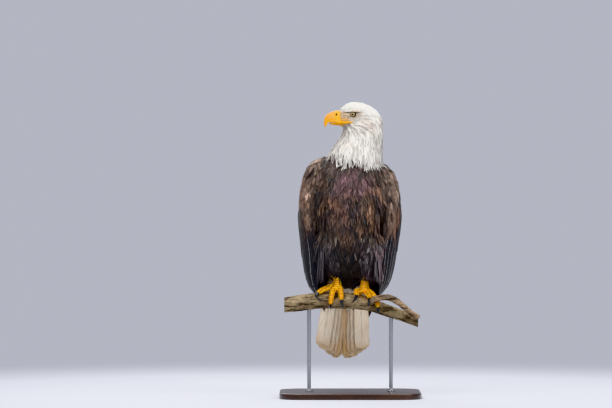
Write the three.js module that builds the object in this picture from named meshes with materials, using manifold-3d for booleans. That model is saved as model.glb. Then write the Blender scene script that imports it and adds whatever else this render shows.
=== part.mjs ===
// An adult bald eagle, life size, perched upright on a short cut length of branch that two rods hold over a flat base.
// Millimetres, +Z up. The origin is the centre of the base's underside. The bird faces -Y, and its head is turned to
// its own right, so that the bill points along -X.
//
// Every feathered part is drawn out to the tips of its feathers. Each is a closed solid that keeps a clearance of
// GAP to its neighbours: a part is cut by a copy of its neighbour that is larger by GAP all round.

import * as THREE from "three";
import { mergeVertices } from "three/addons/utils/BufferGeometryUtils.js";
import Module from "manifold-3d";

const wasm = await Module();
wasm.setup();

// ---------------------------------------------------------------------------------------------- driving dimensions

const GAP = 0.3; // clearance between neighbouring solids
const PERCH_TOP = 320; // height of the branch's upper side under the feet
const BASE = { width: 440, depth: 350, thickness: 18, cornerRadius: 70, bevel: 3 };
const ROD = { radius: 6, sides: 16, socket: 14, x: [-128, 128] };

// The branch runs along X. Its axis is given below the top of the perch.
const PERCH = {
  x: [-205, 212],
  axisZ: [-32, -25, -20, -19, -19.5, -29, -46, -65, -87],
  radius: [24, 25.5, 26, 25.5, 25, 22.5, 20.5, 18.5, 16],
  bark: 0.045, // how far the bark swells and sinks, as a share of the radius
  sections: 11,
  sides: 10,
};
const SHOOT = {
  path: [[62, -12, -27], [73, -40, -16], [92, -51, -9], [119, -50, -8], [150, -44, -23], [188, -36, -55], [213, -32, -72]],
  radius: [10, 10.5, 10, 10, 9.5, 9],
};

// The trunk, from the vent up to the root of the neck, as profiles in the bird's own middle plane (y, z).
const TRUNK = {
  front: [[58, 20], [22, 38], [-40, 80], [-78, 130], [-98, 190], [-107, 255], [-104, 318], [-92, 370], [-66, 412], [-24, 436]],
  back: [[82, 30], [104, 66], [114, 120], [118, 178], [116, 238], [109, 298], [98, 350], [82, 394], [60, 424], [20, 438]],
  halfWidth: [14, 42, 68, 88, 101, 108, 110, 106, 96, 62],
  fullness: 2.25,
};
const LEAN = { foot: -5, slope: 0.017 }; // x of the bird's axis at the perch, and how far it leans for each unit of height

// The neck column, from the tips of the hackles up into the head, seen from the front (x, z).
const NECK = {
  right: [[-58, 393], [-70, 412], [-70, 433], [-60, 450], [-46, 472], [-31, 491], [-25, 511], [-20, 530]],
  left: [[90, 391], [98, 408], [101, 430], [102, 454], [103, 478], [104, 502], [101, 526], [90, 548]],
  halfDepth: [66, 79, 78, 70, 62, 56, 51, 46],
  centreY: -8,
  fullness: 2.2,
};

// The head in its own frame: origin at the left eye's level on the middle plane, +X to the bill's tip, +Z up.
const HEAD = {
  place: [7, -6, 562],
  turn: 188, // degrees about Z, from facing +X
  crown: [[-97, -24], [-90, -2], [-75, 16], [-53, 30], [-28, 38.5], [-6, 40], [13, 35], [28, 25], [41, 13]],
  throat: [[-94, -36], [-86, -54], [-68, -60], [-45, -58], [-24, -54], [-4, -50], [14, -45], [29, -40], [41, -34]],
  halfWidth: [12, 30, 40, 44, 43.5, 40, 34, 26, 18],
  fullness: 2.15,
};
const SOCKET = { x: 5, z: -3, depth: 0.26, reach: [24, 7, 15] }; // hollow round the eye: half-lengths along, up, down
const EYE = { x: 0, y: 27, z: 0, radius: 10 };
const GAPE = { path: [[50, 15, -25.4], [34, 24, -25.2], [18, 31, -24.8], [2, 35.5, -24.4]], radius: [2.4, 2.6, 2.4, 1.6] };

// The bill, in the head's frame (x, z): the ridge from the forehead to the hook's tip, and the cutting edge below it.
const BILL = {
  ridge: [[38, 11.5], [50, 12], [62, 9], [75, 3.5], [84, -5], [88.5, -17], [89, -29], [86.5, -40.5]],
  edge: [[34, -26], [44, -25.5], [55, -25.5], [65, -24.5], [73, -24.5], [78.5, -27], [82, -33], [85.4, -40]],
  halfWidth: [17.5, 17, 15.6, 13.4, 10.6, 7.4, 4.2, 0.8],
  cereEnd: 52, // the waxy cere covers the bill back from here
  cereSlant: 0.12, // and its front edge slopes by this much
  cereSwell: 0.8, // and stands this much proud of the horn
};
const MANDIBLE = {
  top: [[20, -26.2], [36, -26.2], [52, -25.9], [64, -25.2], [74, -25.2]],
  keel: [[20, -34], [36, -34], [52, -33], [64, -31.5], [74, -27.5]],
  halfWidth: [14, 14, 12.4, 9.6, 4.5],
};

// One folded wing, the left one, as rings round the bird. The outer face is an oval about (LEAN, centreY) at each
// height; the wing takes the part of it from the angle `front` to the angle `back`, in degrees from +X towards +Y.
const WING = {
  z: [429, 419, 398, 360, 315, 262, 207, 155, 110, 66, 28, 4, -24],
  halfWidth: [92, 117, 135, 149, 156, 158.5, 155, 149, 143.5, 136, 124, 106, 80],
  centreY: [4, 4, 5, 8, 12, 16, 22, 31, 41, 53, 66, 76, 90],
  frontDepth: [26, 50, 70, 89, 97, 98, 93, 86, 77, 66, 50, 34, 20],
  backDepth: [32, 54, 74, 91, 100, 107, 110, 108, 103, 95, 84, 74, 60],
  front: [-8, -28, -41, -46, -47, -46, -45, -44, -42, -38, -31, -21, -6],
  back: [24, 44, 57, 67, 75, 82, 85, 86, 86, 86, 85, 82, 72],
  thickness: [6, 20, 32, 36, 36, 34, 31, 28, 26, 22, 18, 13, 8],
  edge: 3.5, // thickness of its front and back edges
  covertsLift: 3, // the coverts lie this much outside the flight feathers
  covertsEnd: { z: 152, slope: 0.75 }, // height where the coverts end at the side, and how fast it drops backwards
  sections: 12,
  steps: 6,
  shrug: { left: 0.955, right: 1 }, // the left shoulder is held lower: heights above the perch take this share
};

// Flight feathers that show as separate blades. Lengths are those of an adult.
const TAIL = {
  place: [-6, 103, 84],
  pitch: 10.5, // degrees that the tail slopes backwards
  swing: 3.7, // and swings towards -X
  pairs: 6,
  quill: 34, // how far the feathers reach up inside the coverts is this much short of the root
  length: [243, 256, 254, 244, 234, 223],
  width: [54, 54, 53, 52, 50, 48],
  spread: 1.05, // degrees between neighbouring feathers
  step: 7.6, // sideways step between their roots
  sink: 1.7, // each pair lies this far under the one before
  droop: 2.6, // degrees that each pair rolls down at its outer side
  blade: 2.4,
  coverts: {
    path: [[0, -4, 30], [0, -8, -25], [0, -7, -75], [0, -4, -120]],
    halfWidth: [34, 54, 60, 54, 34],
    halfDepth: [12, 15, 13, 9, 4],
  },
};
const PRIMARIES = {
  count: 5,
  root: [84, 104, 12], // of the outermost one, on the left wing
  rootStep: [-8, 6.5, 0],
  tip: [52, 152, -88],
  tipStep: [-6.5, 3.2, -16],
  width: 36,
  blade: 2.6,
  facing: [0.62, 0.78, 0], // the way their outer faces look
};

// The feathered thighs, from the hip down, as profiles (y, z) about a middle plane at x.
const THIGH = {
  right: { x: [-60, -62, -60, -56, -51, -47], drop: 0 },
  left: { x: [60, 62, 60, 56, 51, 47], drop: 8 },
  front: [[-62, 207], [-77, 172], [-74, 134], [-59, 102], [-34, 74], [-10, 58]],
  back: [[52, 190], [58, 150], [54, 112], [47, 80], [40, 56], [26, 47]],
  halfWidth: [36, 43, 41, 33, 23, 13],
  fullness: 2.1,
};
const TARSUS = { halfWidth: [9, 8.6, 9.2, 12, 14.5, 10], halfDepth: [10.5, 10, 10, 11, 11.5, 8] };

// The feet. Every place is [angle round the branch, x, lift off the bark]: 0 degrees is on top, 90 in front of it.
const TOE = { radius: [9.6, 8.8, 8.6, 7.6, 6.4], sides: 6, sections: 7, knuckle: 0.06, knuckles: 3 };
const CLAW = { radius: [6.0, 5.4, 4.2, 2.5, 0.7], sides: 6, sections: 5 };
const FEET = {
  right: {
    tarsus: [[-46, 12, 98], [-44.5, 6, 74], [-43, 0, 54], [-41, -5, 38], [-40, -8, 26], [-39.5, -9, 17]],
    outer: { toe: [[8, -60, 10], [20, -78, 5], [34, -94, 1.5], [46, -104, 1]], claw: [[64, -104, 6], [90, -88, 7]] },
    middle: { toe: [[30, -52, 8], [60, -57, 3], [90, -60, 1.5], [108, -61, 1.5]], claw: [[124, -61, 4], [146, -59, 5]] },
    inner: { toe: [[28, -31, 9], [52, -29, 6], [74, -28, 3], [86, -27.5, 2]], claw: [[108, -25, 8], [132, -21, 14]] },
    hind: { toe: [[-28, -37, 8], [-58, -35, 3], [-84, -34, 1.5], [-98, -33, 1.5]], claw: [[-120, -31, 5], [-148, -28, 5]] },
  },
  left: {
    tarsus: [[50, 16, 88], [48, 8, 66], [46.5, 1, 48], [45.5, -4, 33], [44.5, -7, 22], [44, -8, 14]],
    outer: { toe: [[18, 66, 7], [44, 80, 3], [74, 86, 1.5], [92, 87, 1.5]], claw: [[116, 87, 5], [142, 85, 5]] },
    middle: { toe: [[28, 52, 8], [42, 59, 9], [52, 61, 9], [62, 61, 8]], claw: [[82, 60, 11], [104, 57, 11]] },
    inner: { toe: [[22, 32, 8], [34, 21, 9], [48, 18, 8], [62, 23, 6]], claw: [[80, 15, 11], [98, 5, 13]] },
    hind: { toe: [[-28, 36, 8], [-58, 28, 3], [-84, 21, 1.5], [-98, 18, 1.5]], claw: [[-128, 13, 5], [-160, 9, 6]] },
  },
};
const TOES = ["outer", "middle", "inner", "hind"];

const COLOUR = {
  white: "#ece8de",
  tail: "#d9cfbc",
  body: "#3b2a24",
  coverts: "#4b382b",
  flight: "#1b1718",
  horn: "#f0a41c",
  cere: "#e9b52a",
  skin: "#f2a516",
  claw: "#17161a",
  iris: "#cdbb7a",
  bark: "#7c6e58",
  stand: "#2e2a28",
  rod: "#8d8f92",
};

// ------------------------------------------------------------------------------------------------- shapes and solids

const vector = (p) => new THREE.Vector3(...p);
const radians = THREE.MathUtils.degToRad;

/** A smooth curve through points, whose control point i of n is at the parameter i / (n - 1). */
const curve = (points) => new THREE.CatmullRomCurve3(points.map(vector), false, "centripetal");

/** A number that changes smoothly through values as u goes from 0 to 1. */
function series(values) {
  const through = new THREE.CatmullRomCurve3(values.map((v) => new THREE.Vector3(v, 0, 0)), false, "catmullrom", 0.5);
  return (u) => through.getPoint(u).x;
}

/** sign(v) |v|^e, which shapes an oval. */
const shaped = (v, e) => Math.sign(v) * Math.abs(v) ** e;

/** The closed surface over a row of rings with like numbers of points. Each end is closed by a fan or, where the
 *  rings are crescents, by a strip between their two edges. */
function loft(rings, crescent = false) {
  const sides = rings[0].length;
  const points = rings.flat();
  const last = points.length - sides;
  const index = [];
  for (let s = 0; s < sides; s++) {
    const next = (s + 1) % sides;
    for (let r = 0; r < last; r += sides) {
      index.push(r + s, r + next, r + sides + s, r + next, r + sides + next, r + sides + s);
    }
    if (!crescent) index.push(points.length, next, s, points.length + 1, last + s, last + next);
  }
  for (let s = 0; crescent && s < sides / 2 - 1; s++) {
    const [a, b, c, d] = [s, s + 1, sides - 2 - s, sides - 1 - s];
    index.push(c, b, a, d, c, a, last + a, last + b, last + c, last + a, last + c, last + d);
  }
  const middle = (ring) => ring.reduce((sum, p) => sum.add(p), new THREE.Vector3()).divideScalar(sides);
  const ends = crescent ? [] : [middle(rings[0]), middle(rings.at(-1))];
  return new THREE.BufferGeometry().setFromPoints([...points, ...ends]).setIndex(index);
}

/** A geometry as a manifold-3d solid with its faces outwards, whichever way they were wound. */
function solid(geometry) {
  const bare = new THREE.BufferGeometry().setAttribute("position", geometry.getAttribute("position"));
  if (geometry.index) bare.setIndex(geometry.index);
  const merged = mergeVertices(bare, 1e-3);
  const vertProperties = merged.attributes.position.array;
  const triVerts = new Uint32Array(merged.index.array);
  const made = new wasm.Manifold(new wasm.Mesh({ numProp: 3, vertProperties, triVerts }));
  if (made.volume() > 0) return made;
  for (let i = 0; i < triVerts.length; i += 3) {
    [triVerts[i + 1], triVerts[i + 2]] = [triVerts[i + 2], triVerts[i + 1]];
  }
  return new wasm.Manifold(new wasm.Mesh({ numProp: 3, vertProperties, triVerts }));
}

/** The largest body of a solid, without the crumbs that a cut can leave. */
const largest = (made) => made.decompose().reduce((a, b) => (b.volume() > a.volume() ? b : a));

/** A solid cut by others. */
const cut = (made, ...others) => largest(others.reduce((rest, other) => rest.subtract(other), made));

/** The half of space on the far side of a plane, as a large box: along `normal` from `point`. */
function beyond(point, normal) {
  const size = 2000;
  const box = new THREE.BoxGeometry(size, size, size).translate(0, 0, size / 2);
  const turn = new THREE.Quaternion().setFromUnitVectors(new THREE.Vector3(0, 0, 1), vector(normal).normalize());
  return solid(box.applyQuaternion(turn).translate(...point));
}

/** A solid as a geometry for a mesh. */
function geometryOf(made) {
  const { numProp, numVert, vertProperties, triVerts } = made.getMesh();
  const position = new Float32Array(numVert * 3);
  for (let i = 0; i < numVert; i++) position.set(vertProperties.subarray(i * numProp, i * numProp + 3), i * 3);
  const geometry = new THREE.BufferGeometry();
  geometry.setAttribute("position", new THREE.BufferAttribute(position, 3)).setIndex(new THREE.BufferAttribute(triVerts, 1));
  geometry.computeVertexNormals();
  return geometry;
}

/** A named mesh of one finish. */
function piece(name, made, color, roughness = 0.7, metalness = 0) {
  const mesh = new THREE.Mesh(geometryOf(made), new THREE.MeshStandardMaterial({ color, roughness, metalness }));
  mesh.name = name;
  return mesh;
}

/** A rounded body between two rails. Section u is an oval from railA(u) to railB(u), as wide to each side as
 *  halfWidth(u) says. grow makes it larger all round. */
function railBody({ railA, railB, halfWidth, side, fullness = 2, sections, sides, grow = 0, mould = null }) {
  const across = vector(side).normalize();
  const middleOf = (u) => railA(u).add(railB(u)).multiplyScalar(0.5);
  const rings = [];
  for (let i = 0; i <= sections; i++) {
    const u = i / sections;
    const middle = middleOf(u);
    const half = railB(u).sub(middle);
    half.setLength(half.length() + grow);
    if (grow && (i === 0 || i === sections)) {
      const outward = middle.clone().sub(middleOf(i === 0 ? 0.02 : 0.98)).setLength(grow);
      middle.add(outward);
    }
    const ring = [];
    for (let s = 0; s < sides; s++) {
      const angle = (s / sides) * 2 * Math.PI;
      const point = middle.clone().addScaledVector(half, shaped(Math.cos(angle), 2 / fullness));
      point.addScaledVector(across, (halfWidth(u) + grow) * shaped(Math.sin(angle), 2 / fullness));
      ring.push(mould ? mould(point) : point);
    }
    rings.push(ring);
  }
  return solid(loft(rings));
}

/** A round or oval rod along a path, with radii that change along it. up(point) is the way that halfDepth is
 *  measured there, and halfWidth lies across that and the path. */
function rodBody({ path, halfWidth, halfDepth = halfWidth, up, sections, sides, grow = 0, swell = () => 1 }) {
  const rings = [];
  for (let i = 0; i <= sections; i++) {
    const u = i / sections;
    const tangent = path.getTangent(u);
    const middle = path.getPoint(u);
    const width = up(middle).cross(tangent).normalize();
    const depth = tangent.clone().cross(width);
    if (i === 0) middle.addScaledVector(tangent, -grow);
    if (i === sections) middle.addScaledVector(tangent, grow);
    const ring = [];
    for (let s = 0; s < sides; s++) {
      const angle = (s / sides) * 2 * Math.PI;
      const reach = swell(u, angle);
      const point = middle.clone().addScaledVector(width, Math.cos(angle) * (halfWidth(u) * reach + grow));
      ring.push(point.addScaledVector(depth, Math.sin(angle) * (halfDepth(u) * reach + grow)));
    }
    rings.push(ring);
  }
  return solid(loft(rings));
}

/** One long feather as a flat blade: it hangs from the origin along -Z, with its faces towards +Y and -Y. */
function blade(size, grow = 0) {
  const [length, thickness] = [size.length + 2 * grow, size.blade + 2 * grow];
  const [half, tip] = [size.width / 2 + grow, size.width * 0.4];
  const outline = new THREE.Shape();
  outline.moveTo(-half * 0.8, 0).lineTo(-half, -length + tip);
  outline.quadraticCurveTo(-half * 0.92, -length + tip * 0.12, 0, -length);
  outline.quadraticCurveTo(half * 0.92, -length + tip * 0.12, half, -length + tip);
  outline.lineTo(half * 0.8, 0);
  const flat = new THREE.ExtrudeGeometry(outline, { depth: thickness, bevelEnabled: false, curveSegments: 2 });
  return solid(flat.translate(0, grow, -thickness / 2).rotateX(Math.PI / 2));
}

/** A solid turned and moved as a group's own matrix says. */
function placed(made, group) {
  group.updateMatrix();
  return made.transform(group.matrix.elements);
}

const CERE_EDGE = [1, 0, BILL.cereSlant]; // the way its front edge faces
const WING_SERIES = ["z", "halfWidth", "centreY", "frontDepth", "backDepth", "front", "back", "thickness"];
const upward = () => new THREE.Vector3(0, 0, 1);
const backward = () => new THREE.Vector3(0, 1, 0);
const sideOf = (x) => (x > 0 ? "left" : "right");
const signOf = (side) => (side === "left" ? 1 : -1);

// ------------------------------------------------------------------------------------------------- the perch and stand

const perchX = (u) => THREE.MathUtils.lerp(PERCH.x[0], PERCH.x[1], u);
const perchU = (x) => (x - PERCH.x[0]) / (PERCH.x[1] - PERCH.x[0]);
const perchZ = series(PERCH.axisZ);
const perchRadius = series(PERCH.radius);
const perchPath = new THREE.CatmullRomCurve3(
  PERCH.axisZ.map((z, i) => new THREE.Vector3(perchX(i / (PERCH.axisZ.length - 1)), 0, z)),
);

/** How the bark swells at a place on the branch. */
const barkSwell = (u, angle) =>
  1 + PERCH.bark * (0.6 * Math.sin(3 * angle + 9 * u) + 0.4 * Math.sin(5 * angle - 21 * u) + 0.5 * Math.sin(17 * u));

function perchBody(grow = 0) {
  const { sections, sides } = PERCH;
  return rodBody({ path: perchPath, halfWidth: perchRadius, up: upward, sections, sides, grow, swell: barkSwell });
}

function shootBody(grow = 0) {
  const swell = (u, angle) => 1 + 0.05 * Math.sin(2 * angle + 14 * u);
  const halfWidth = series(SHOOT.radius);
  return rodBody({ path: curve(SHOOT.path), halfWidth, up: upward, sections: 9, sides: 8, grow, swell });
}

/** A rod from the top of the base up into its socket in the branch. */
function rodSolid(x, grow = 0) {
  const low = BASE.thickness + GAP;
  const high = PERCH_TOP + perchZ(perchU(x)) - perchRadius(perchU(x)) + ROD.socket;
  const height = high - low + grow;
  const rod = new THREE.CylinderGeometry(ROD.radius + grow, ROD.radius + grow, height, ROD.sides).rotateX(Math.PI / 2);
  return solid(rod.translate(x, 0, low + height / 2));
}

function baseSolid() {
  const { width, depth, thickness, cornerRadius, bevel } = BASE;
  const [halfX, halfY] = [width / 2 - bevel, depth / 2 - bevel];
  const radius = cornerRadius - bevel;
  const outline = new THREE.Shape();
  outline.absarc(halfX - radius, halfY - radius, radius, 0, Math.PI / 2);
  outline.absarc(radius - halfX, halfY - radius, radius, Math.PI / 2, Math.PI);
  outline.absarc(radius - halfX, radius - halfY, radius, Math.PI, 1.5 * Math.PI);
  outline.absarc(halfX - radius, radius - halfY, radius, 1.5 * Math.PI, 2 * Math.PI);
  const options = { depth: thickness - 2 * bevel, bevelThickness: bevel, bevelSize: bevel, bevelSegments: 1, curveSegments: 4 };
  return solid(new THREE.ExtrudeGeometry(outline, options).translate(0, 0, bevel));
}

// ----------------------------------------------------------------------------------------------------------- the bird

const leanX = (z) => LEAN.foot + LEAN.slope * z;

/** Moves a point sideways by the bird's lean at its height. */
const leaned = (point) => point.setX(point.x + leanX(point.z));

/** A curve through (y, z) points of a profile, at x. */
const profile = (points, xs = null) => {
  const through = curve(points.map(([y, z], i) => [xs ? xs[i] : 0, y, z]));
  return (u) => through.getPoint(u);
};

function trunkBody(grow = 0) {
  const { fullness, front, back, halfWidth } = TRUNK;
  const rails = { railA: profile(front), railB: profile(back), halfWidth: series(halfWidth) };
  return railBody({ ...rails, side: [1, 0, 0], fullness, sections: 11, sides: 16, grow, mould: leaned });
}

function neckBody(grow = 0) {
  const rail = (points) => {
    const through = curve(points.map(([x, z]) => [x, NECK.centreY, z]));
    return (u) => through.getPoint(u);
  };
  const rails = { railA: rail(NECK.right), railB: rail(NECK.left), halfWidth: series(NECK.halfDepth) };
  return railBody({ ...rails, side: [0, 1, 0], fullness: NECK.fullness, sections: 7, sides: 16, grow });
}

/** The head in its own frame, with a hollow round each eye under a brow. */
function headBody(grow = 0) {
  const rail = (points) => {
    const through = curve(points.map(([x, z]) => [x, 0, z]));
    return (u) => through.getPoint(u);
  };
  const { x, z, depth, reach } = SOCKET;
  const [along, up, down] = reach;
  const hollowed = (point) => {
    const height = (point.z - z) / (point.z > z ? up : down);
    const near = Math.exp(-(((point.x - x) / along) ** 2) - height ** 2);
    return point.setY(point.y * (1 - depth * near));
  };
  const rails = { railA: rail(HEAD.crown), railB: rail(HEAD.throat), halfWidth: series(HEAD.halfWidth) };
  return railBody({ ...rails, side: [0, 1, 0], fullness: HEAD.fullness, sections: 13, sides: 14, grow, mould: hollowed });
}

function eyeBody(side, grow = 0) {
  return solid(new THREE.SphereGeometry(EYE.radius + grow, 10, 7).translate(EYE.x, side * EYE.y, EYE.z));
}

/** The upper bill: a horseshoe section between the ridge and the cutting edge, flat below. */
function billBody(grow = 0) {
  const [ridge, edge] = [BILL.ridge, BILL.edge].map((rail) => curve(rail.map(([x, z]) => [x, 0, z])));
  const halfWidth = series(BILL.halfWidth);
  const [sections, arch] = [12, 6];
  const rings = [];
  for (let i = 0; i <= sections; i++) {
    const u = i / sections;
    const [high, low] = [ridge.getPoint(u), edge.getPoint(u)];
    const up = high.clone().sub(low).normalize();
    high.addScaledVector(up, grow);
    low.addScaledVector(up, -grow);
    const ring = [];
    for (let s = 0; s <= arch; s++) {
      const side = (2 * s) / arch - 1;
      const drop = 1 - Math.sqrt(1 - side * side * 0.998);
      const point = high.clone().lerp(low, drop ** 0.85);
      ring.push(point.setY(side * (halfWidth(u) + grow)));
    }
    rings.push(ring);
  }
  return solid(loft(rings));
}

function mandibleBody(grow = 0) {
  const rail = (points) => {
    const through = curve(points.map(([x, z]) => [x, 0, z]));
    return (u) => through.getPoint(u);
  };
  const rails = { railA: rail(MANDIBLE.top), railB: rail(MANDIBLE.keel), halfWidth: series(MANDIBLE.halfWidth) };
  return railBody({ ...rails, side: [0, 1, 0], fullness: 2.6, sections: 7, sides: 10, grow });
}

/** The fleshy edge of the gape, that runs back from the bill under one eye. */
function gapeBody(side, grow = 0) {
  const path = curve(GAPE.path.map(([x, y, z]) => [x, side * y, z]));
  return rodBody({ path, halfWidth: series(GAPE.radius), up: upward, sections: 5, sides: 6, grow });
}

/** The waxy cere over the back of the bill, in one piece with both edges of the gape. */
function cereBody(grow = 0) {
  const back = billBody(BILL.cereSwell + grow).subtract(beyond([BILL.cereEnd + grow, 0, 0], CERE_EDGE));
  return back.add(gapeBody(1, grow)).add(gapeBody(-1, grow));
}

/** A folded wing as a curved shield from its wrist, at the top, to the ends of its inner flight feathers. */
function wingBody(side, grow = 0) {
  const at = Object.fromEntries(WING_SERIES.map((key) => [key, series(WING[key])]));
  const rings = [];
  const { sections } = WING;
  for (let i = 0; i <= sections; i++) {
    const u = i / sections;
    const z = at.z(u) + (i === 0 ? grow : i === sections ? -grow : 0);
    const outer = [];
    const inner = [];
    for (let s = 0; s <= WING.steps; s++) {
      const share = s / WING.steps;
      const angle = radians(THREE.MathUtils.lerp(at.front(u), at.back(u), share));
      const depth = angle < 0 ? at.frontDepth(u) : at.backDepth(u);
      const [cos, sin] = [Math.cos(angle), Math.sin(angle)];
      const outward = new THREE.Vector3(cos / at.halfWidth(u), sin / depth, 0).normalize();
      const edgeward = new THREE.Vector3(-outward.y, outward.x, 0);
      const point = new THREE.Vector3(at.halfWidth(u) * cos, at.centreY(u) + depth * sin, z);
      point.addScaledVector(edgeward, s === 0 ? -grow : s === WING.steps ? grow : 0);
      const thick = WING.edge + (at.thickness(u) - WING.edge) * Math.sin(Math.PI * share ** 0.6) ** 0.7;
      outer.push(point.clone().addScaledVector(outward, grow));
      inner.push(point.clone().addScaledVector(outward, -thick - grow));
    }
    const ring = [...outer, ...inner.reverse()];
    rings.push(ring.map((p) => leaned(p.set(p.x * signOf(side), p.y, p.z * WING.shrug[side]))));
  }
  return solid(loft(rings, true));
}

/** The half of space above or below the lower edge of the wing coverts, moved by `shift` along Z. */
function fromCoverts(up, shift = 0) {
  const { z, slope } = WING.covertsEnd;
  return beyond([0, 0, z + shift], [0, slope * up, up]);
}

/** The tail in its own frame, where it hangs along -Z with its upper side towards +Y: coverts round the roots of
 *  the tail feathers, and each pair of those under the one before. */
function tailBody(grow = 0) {
  const { coverts } = TAIL;
  const path = curve(coverts.path);
  const root = { halfWidth: series(coverts.halfWidth), halfDepth: series(coverts.halfDepth) };
  let tail = rodBody({ path, ...root, up: backward, sections: 5, sides: 12, grow });
  for (let pair = 0; pair < TAIL.pairs; pair++) {
    for (const side of [-1, 1]) {
      const rank = pair + 0.5;
      const vane = blade({ length: TAIL.length[pair], width: TAIL.width[pair], blade: TAIL.blade }, grow);
      const turned = vane.rotate([0, 0, side * TAIL.droop * pair]).rotate([0, -side * TAIL.spread * rank, 0]);
      tail = tail.add(turned.translate([side * TAIL.step * rank, -TAIL.sink * pair, -TAIL.quill]));
    }
  }
  return tail;
}

/** The primaries of a wing: a stack of blades whose tips step down towards the tail. */
function primariesBody(side, grow = 0) {
  let stack = null;
  for (let i = 0; i < PRIMARIES.count; i++) {
    const from = vector(PRIMARIES.root).addScaledVector(vector(PRIMARIES.rootStep), i);
    const tip = vector(PRIMARIES.tip).addScaledVector(vector(PRIMARIES.tipStep), i);
    const down = tip.clone().sub(from);
    const across = new THREE.Vector3().crossVectors(down, vector(PRIMARIES.facing)).normalize();
    const upward = down.clone().normalize().negate();
    const face = new THREE.Vector3().crossVectors(upward, across);
    const frame = new THREE.Matrix4().makeBasis(across, face, upward).setPosition(from);
    const vane = blade({ length: down.length(), width: PRIMARIES.width, blade: PRIMARIES.blade }, grow);
    const hung = vane.transform(frame.elements);
    stack = stack ? stack.add(hung) : hung;
  }
  const sided = side === "left" ? stack : stack.mirror([1, 0, 0]);
  return sided.translate([LEAN.foot, 0, 0]);
}

function thighBody(side, grow = 0) {
  const { x, drop } = THIGH[side];
  const lower = (points) => points.map(([y, z]) => [y, z - drop]);
  const rails = { railA: profile(lower(THIGH.front), x), railB: profile(lower(THIGH.back), x) };
  const halfWidth = series(THIGH.halfWidth);
  return railBody({ ...rails, halfWidth, side: [1, 0, 0], fullness: THIGH.fullness, sections: 7, sides: 12, grow });
}

function tarsusBody(side, grow = 0) {
  const sizes = { halfWidth: series(TARSUS.halfWidth), halfDepth: series(TARSUS.halfDepth) };
  return rodBody({ path: curve(FEET[side].tarsus), ...sizes, up: backward, sections: 6, sides: 9, grow });
}

/** A place by the branch: round it by an angle, along it to x, and out from its bark. */
function byBranch([angle, x, lift], thickness) {
  const reach = perchRadius(perchU(x)) * (1 + PERCH.bark) + lift + thickness;
  const turn = radians(angle);
  return [x, -reach * Math.sin(turn), perchZ(perchU(x)) + reach * Math.cos(turn)];
}

/** The way out from the branch's axis at a point near it. */
const offBranch = (point) => new THREE.Vector3(0, point.y, point.z - perchZ(perchU(point.x)));

function toePath(side, name) {
  const start = FEET[side].tarsus.at(-2);
  return curve([start, ...FEET[side][name].toe.map((place) => byBranch(place, TOE.radius[3]))]);
}

function toeBody(side, name, grow = 0) {
  const swell = (u) => 1 + TOE.knuckle * Math.cos(2 * Math.PI * TOE.knuckles * u);
  const { sections, sides } = TOE;
  const path = toePath(side, name);
  return rodBody({ path, halfWidth: series(TOE.radius), up: offBranch, sections, sides, grow, swell });
}

function clawBody(side, name, grow = 0) {
  const ends = FEET[side][name].claw.map((place) => byBranch(place, 0));
  const { sections, sides } = CLAW;
  const path = curve([toePath(side, name).getPoint(0.93).toArray(), ...ends]);
  return rodBody({ path, halfWidth: series(CLAW.radius), up: offBranch, sections, sides, grow });
}

// -------------------------------------------------------------------------------------------------------- the assembly

const root = new THREE.Group();
const stand = new THREE.Group();
const roost = new THREE.Group(); // the perch and the bird, measured from the top of the perch
roost.position.z = PERCH_TOP;
root.add(stand, roost);

stand.add(piece("stand_base", baseSolid(), COLOUR.stand, 0.45));
ROD.x.forEach((x) => stand.add(piece(`stand_rod_${sideOf(x)}`, rodSolid(x), COLOUR.rod, 0.35, 1)));

const perchHoles = ROD.x.map((x) => rodSolid(x, GAP).translate([0, 0, -PERCH_TOP]));
roost.add(piece("perch_branch", cut(perchBody(), ...perchHoles), COLOUR.bark, 0.9));
roost.add(piece("perch_side_shoot", cut(shootBody(), perchBody(GAP)), COLOUR.bark, 0.9));

// The head turns as one, with its eyes and bill.
const head = new THREE.Group();
head.position.set(...HEAD.place);
head.rotation.z = radians(HEAD.turn);
roost.add(head);
const eyeSpaces = [eyeBody(1, GAP), eyeBody(-1, GAP)];
const horn = cut(billBody(), cereBody(GAP), mandibleBody(GAP));
const cere = cut(cereBody(), mandibleBody(GAP));
const skull = cut(headBody(), billBody(GAP), cereBody(GAP), mandibleBody(GAP), ...eyeSpaces);
head.add(piece("head", skull, COLOUR.white), piece("cere", cere, COLOUR.cere, 0.5));
head.add(piece("bill_upper", horn, COLOUR.horn, 0.35), piece("bill_lower", mandibleBody(), COLOUR.horn, 0.4));
head.add(piece("eye_left", eyeBody(1), COLOUR.iris, 0.1), piece("eye_right", eyeBody(-1), COLOUR.iris, 0.1));

// The neck's feathers hang over the trunk and the shoulders of the wings, and the wings lie over the trunk.
const skullSpace = placed(headBody(GAP), head);
const tail = new THREE.Group();
tail.position.set(...TAIL.place);
tail.rotation.set(radians(TAIL.pitch), radians(TAIL.swing), 0);
const tailSpace = placed(tailBody(GAP), tail);
const tailWhole = tailBody();
roost.add(piece("neck", cut(neckBody(), skullSpace), COLOUR.white));

const wingSpaces = [];
for (const side of ["left", "right"]) {
  const lift = WING.covertsLift;
  const coverts = cut(wingBody(side, lift), fromCoverts(-1), neckBody(GAP), tailSpace);
  const secondaries = cut(wingBody(side), fromCoverts(1, -GAP), tailSpace);
  const primaries = cut(primariesBody(side), wingBody(side, lift + GAP), tailSpace);
  roost.add(piece(`wing_coverts_${side}`, coverts, COLOUR.coverts));
  roost.add(piece(`wing_secondaries_${side}`, secondaries, COLOUR.flight));
  roost.add(piece(`wing_primaries_${side}`, primaries, COLOUR.flight));
  wingSpaces.push(wingBody(side, lift + GAP), primariesBody(side, GAP));
}

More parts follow.
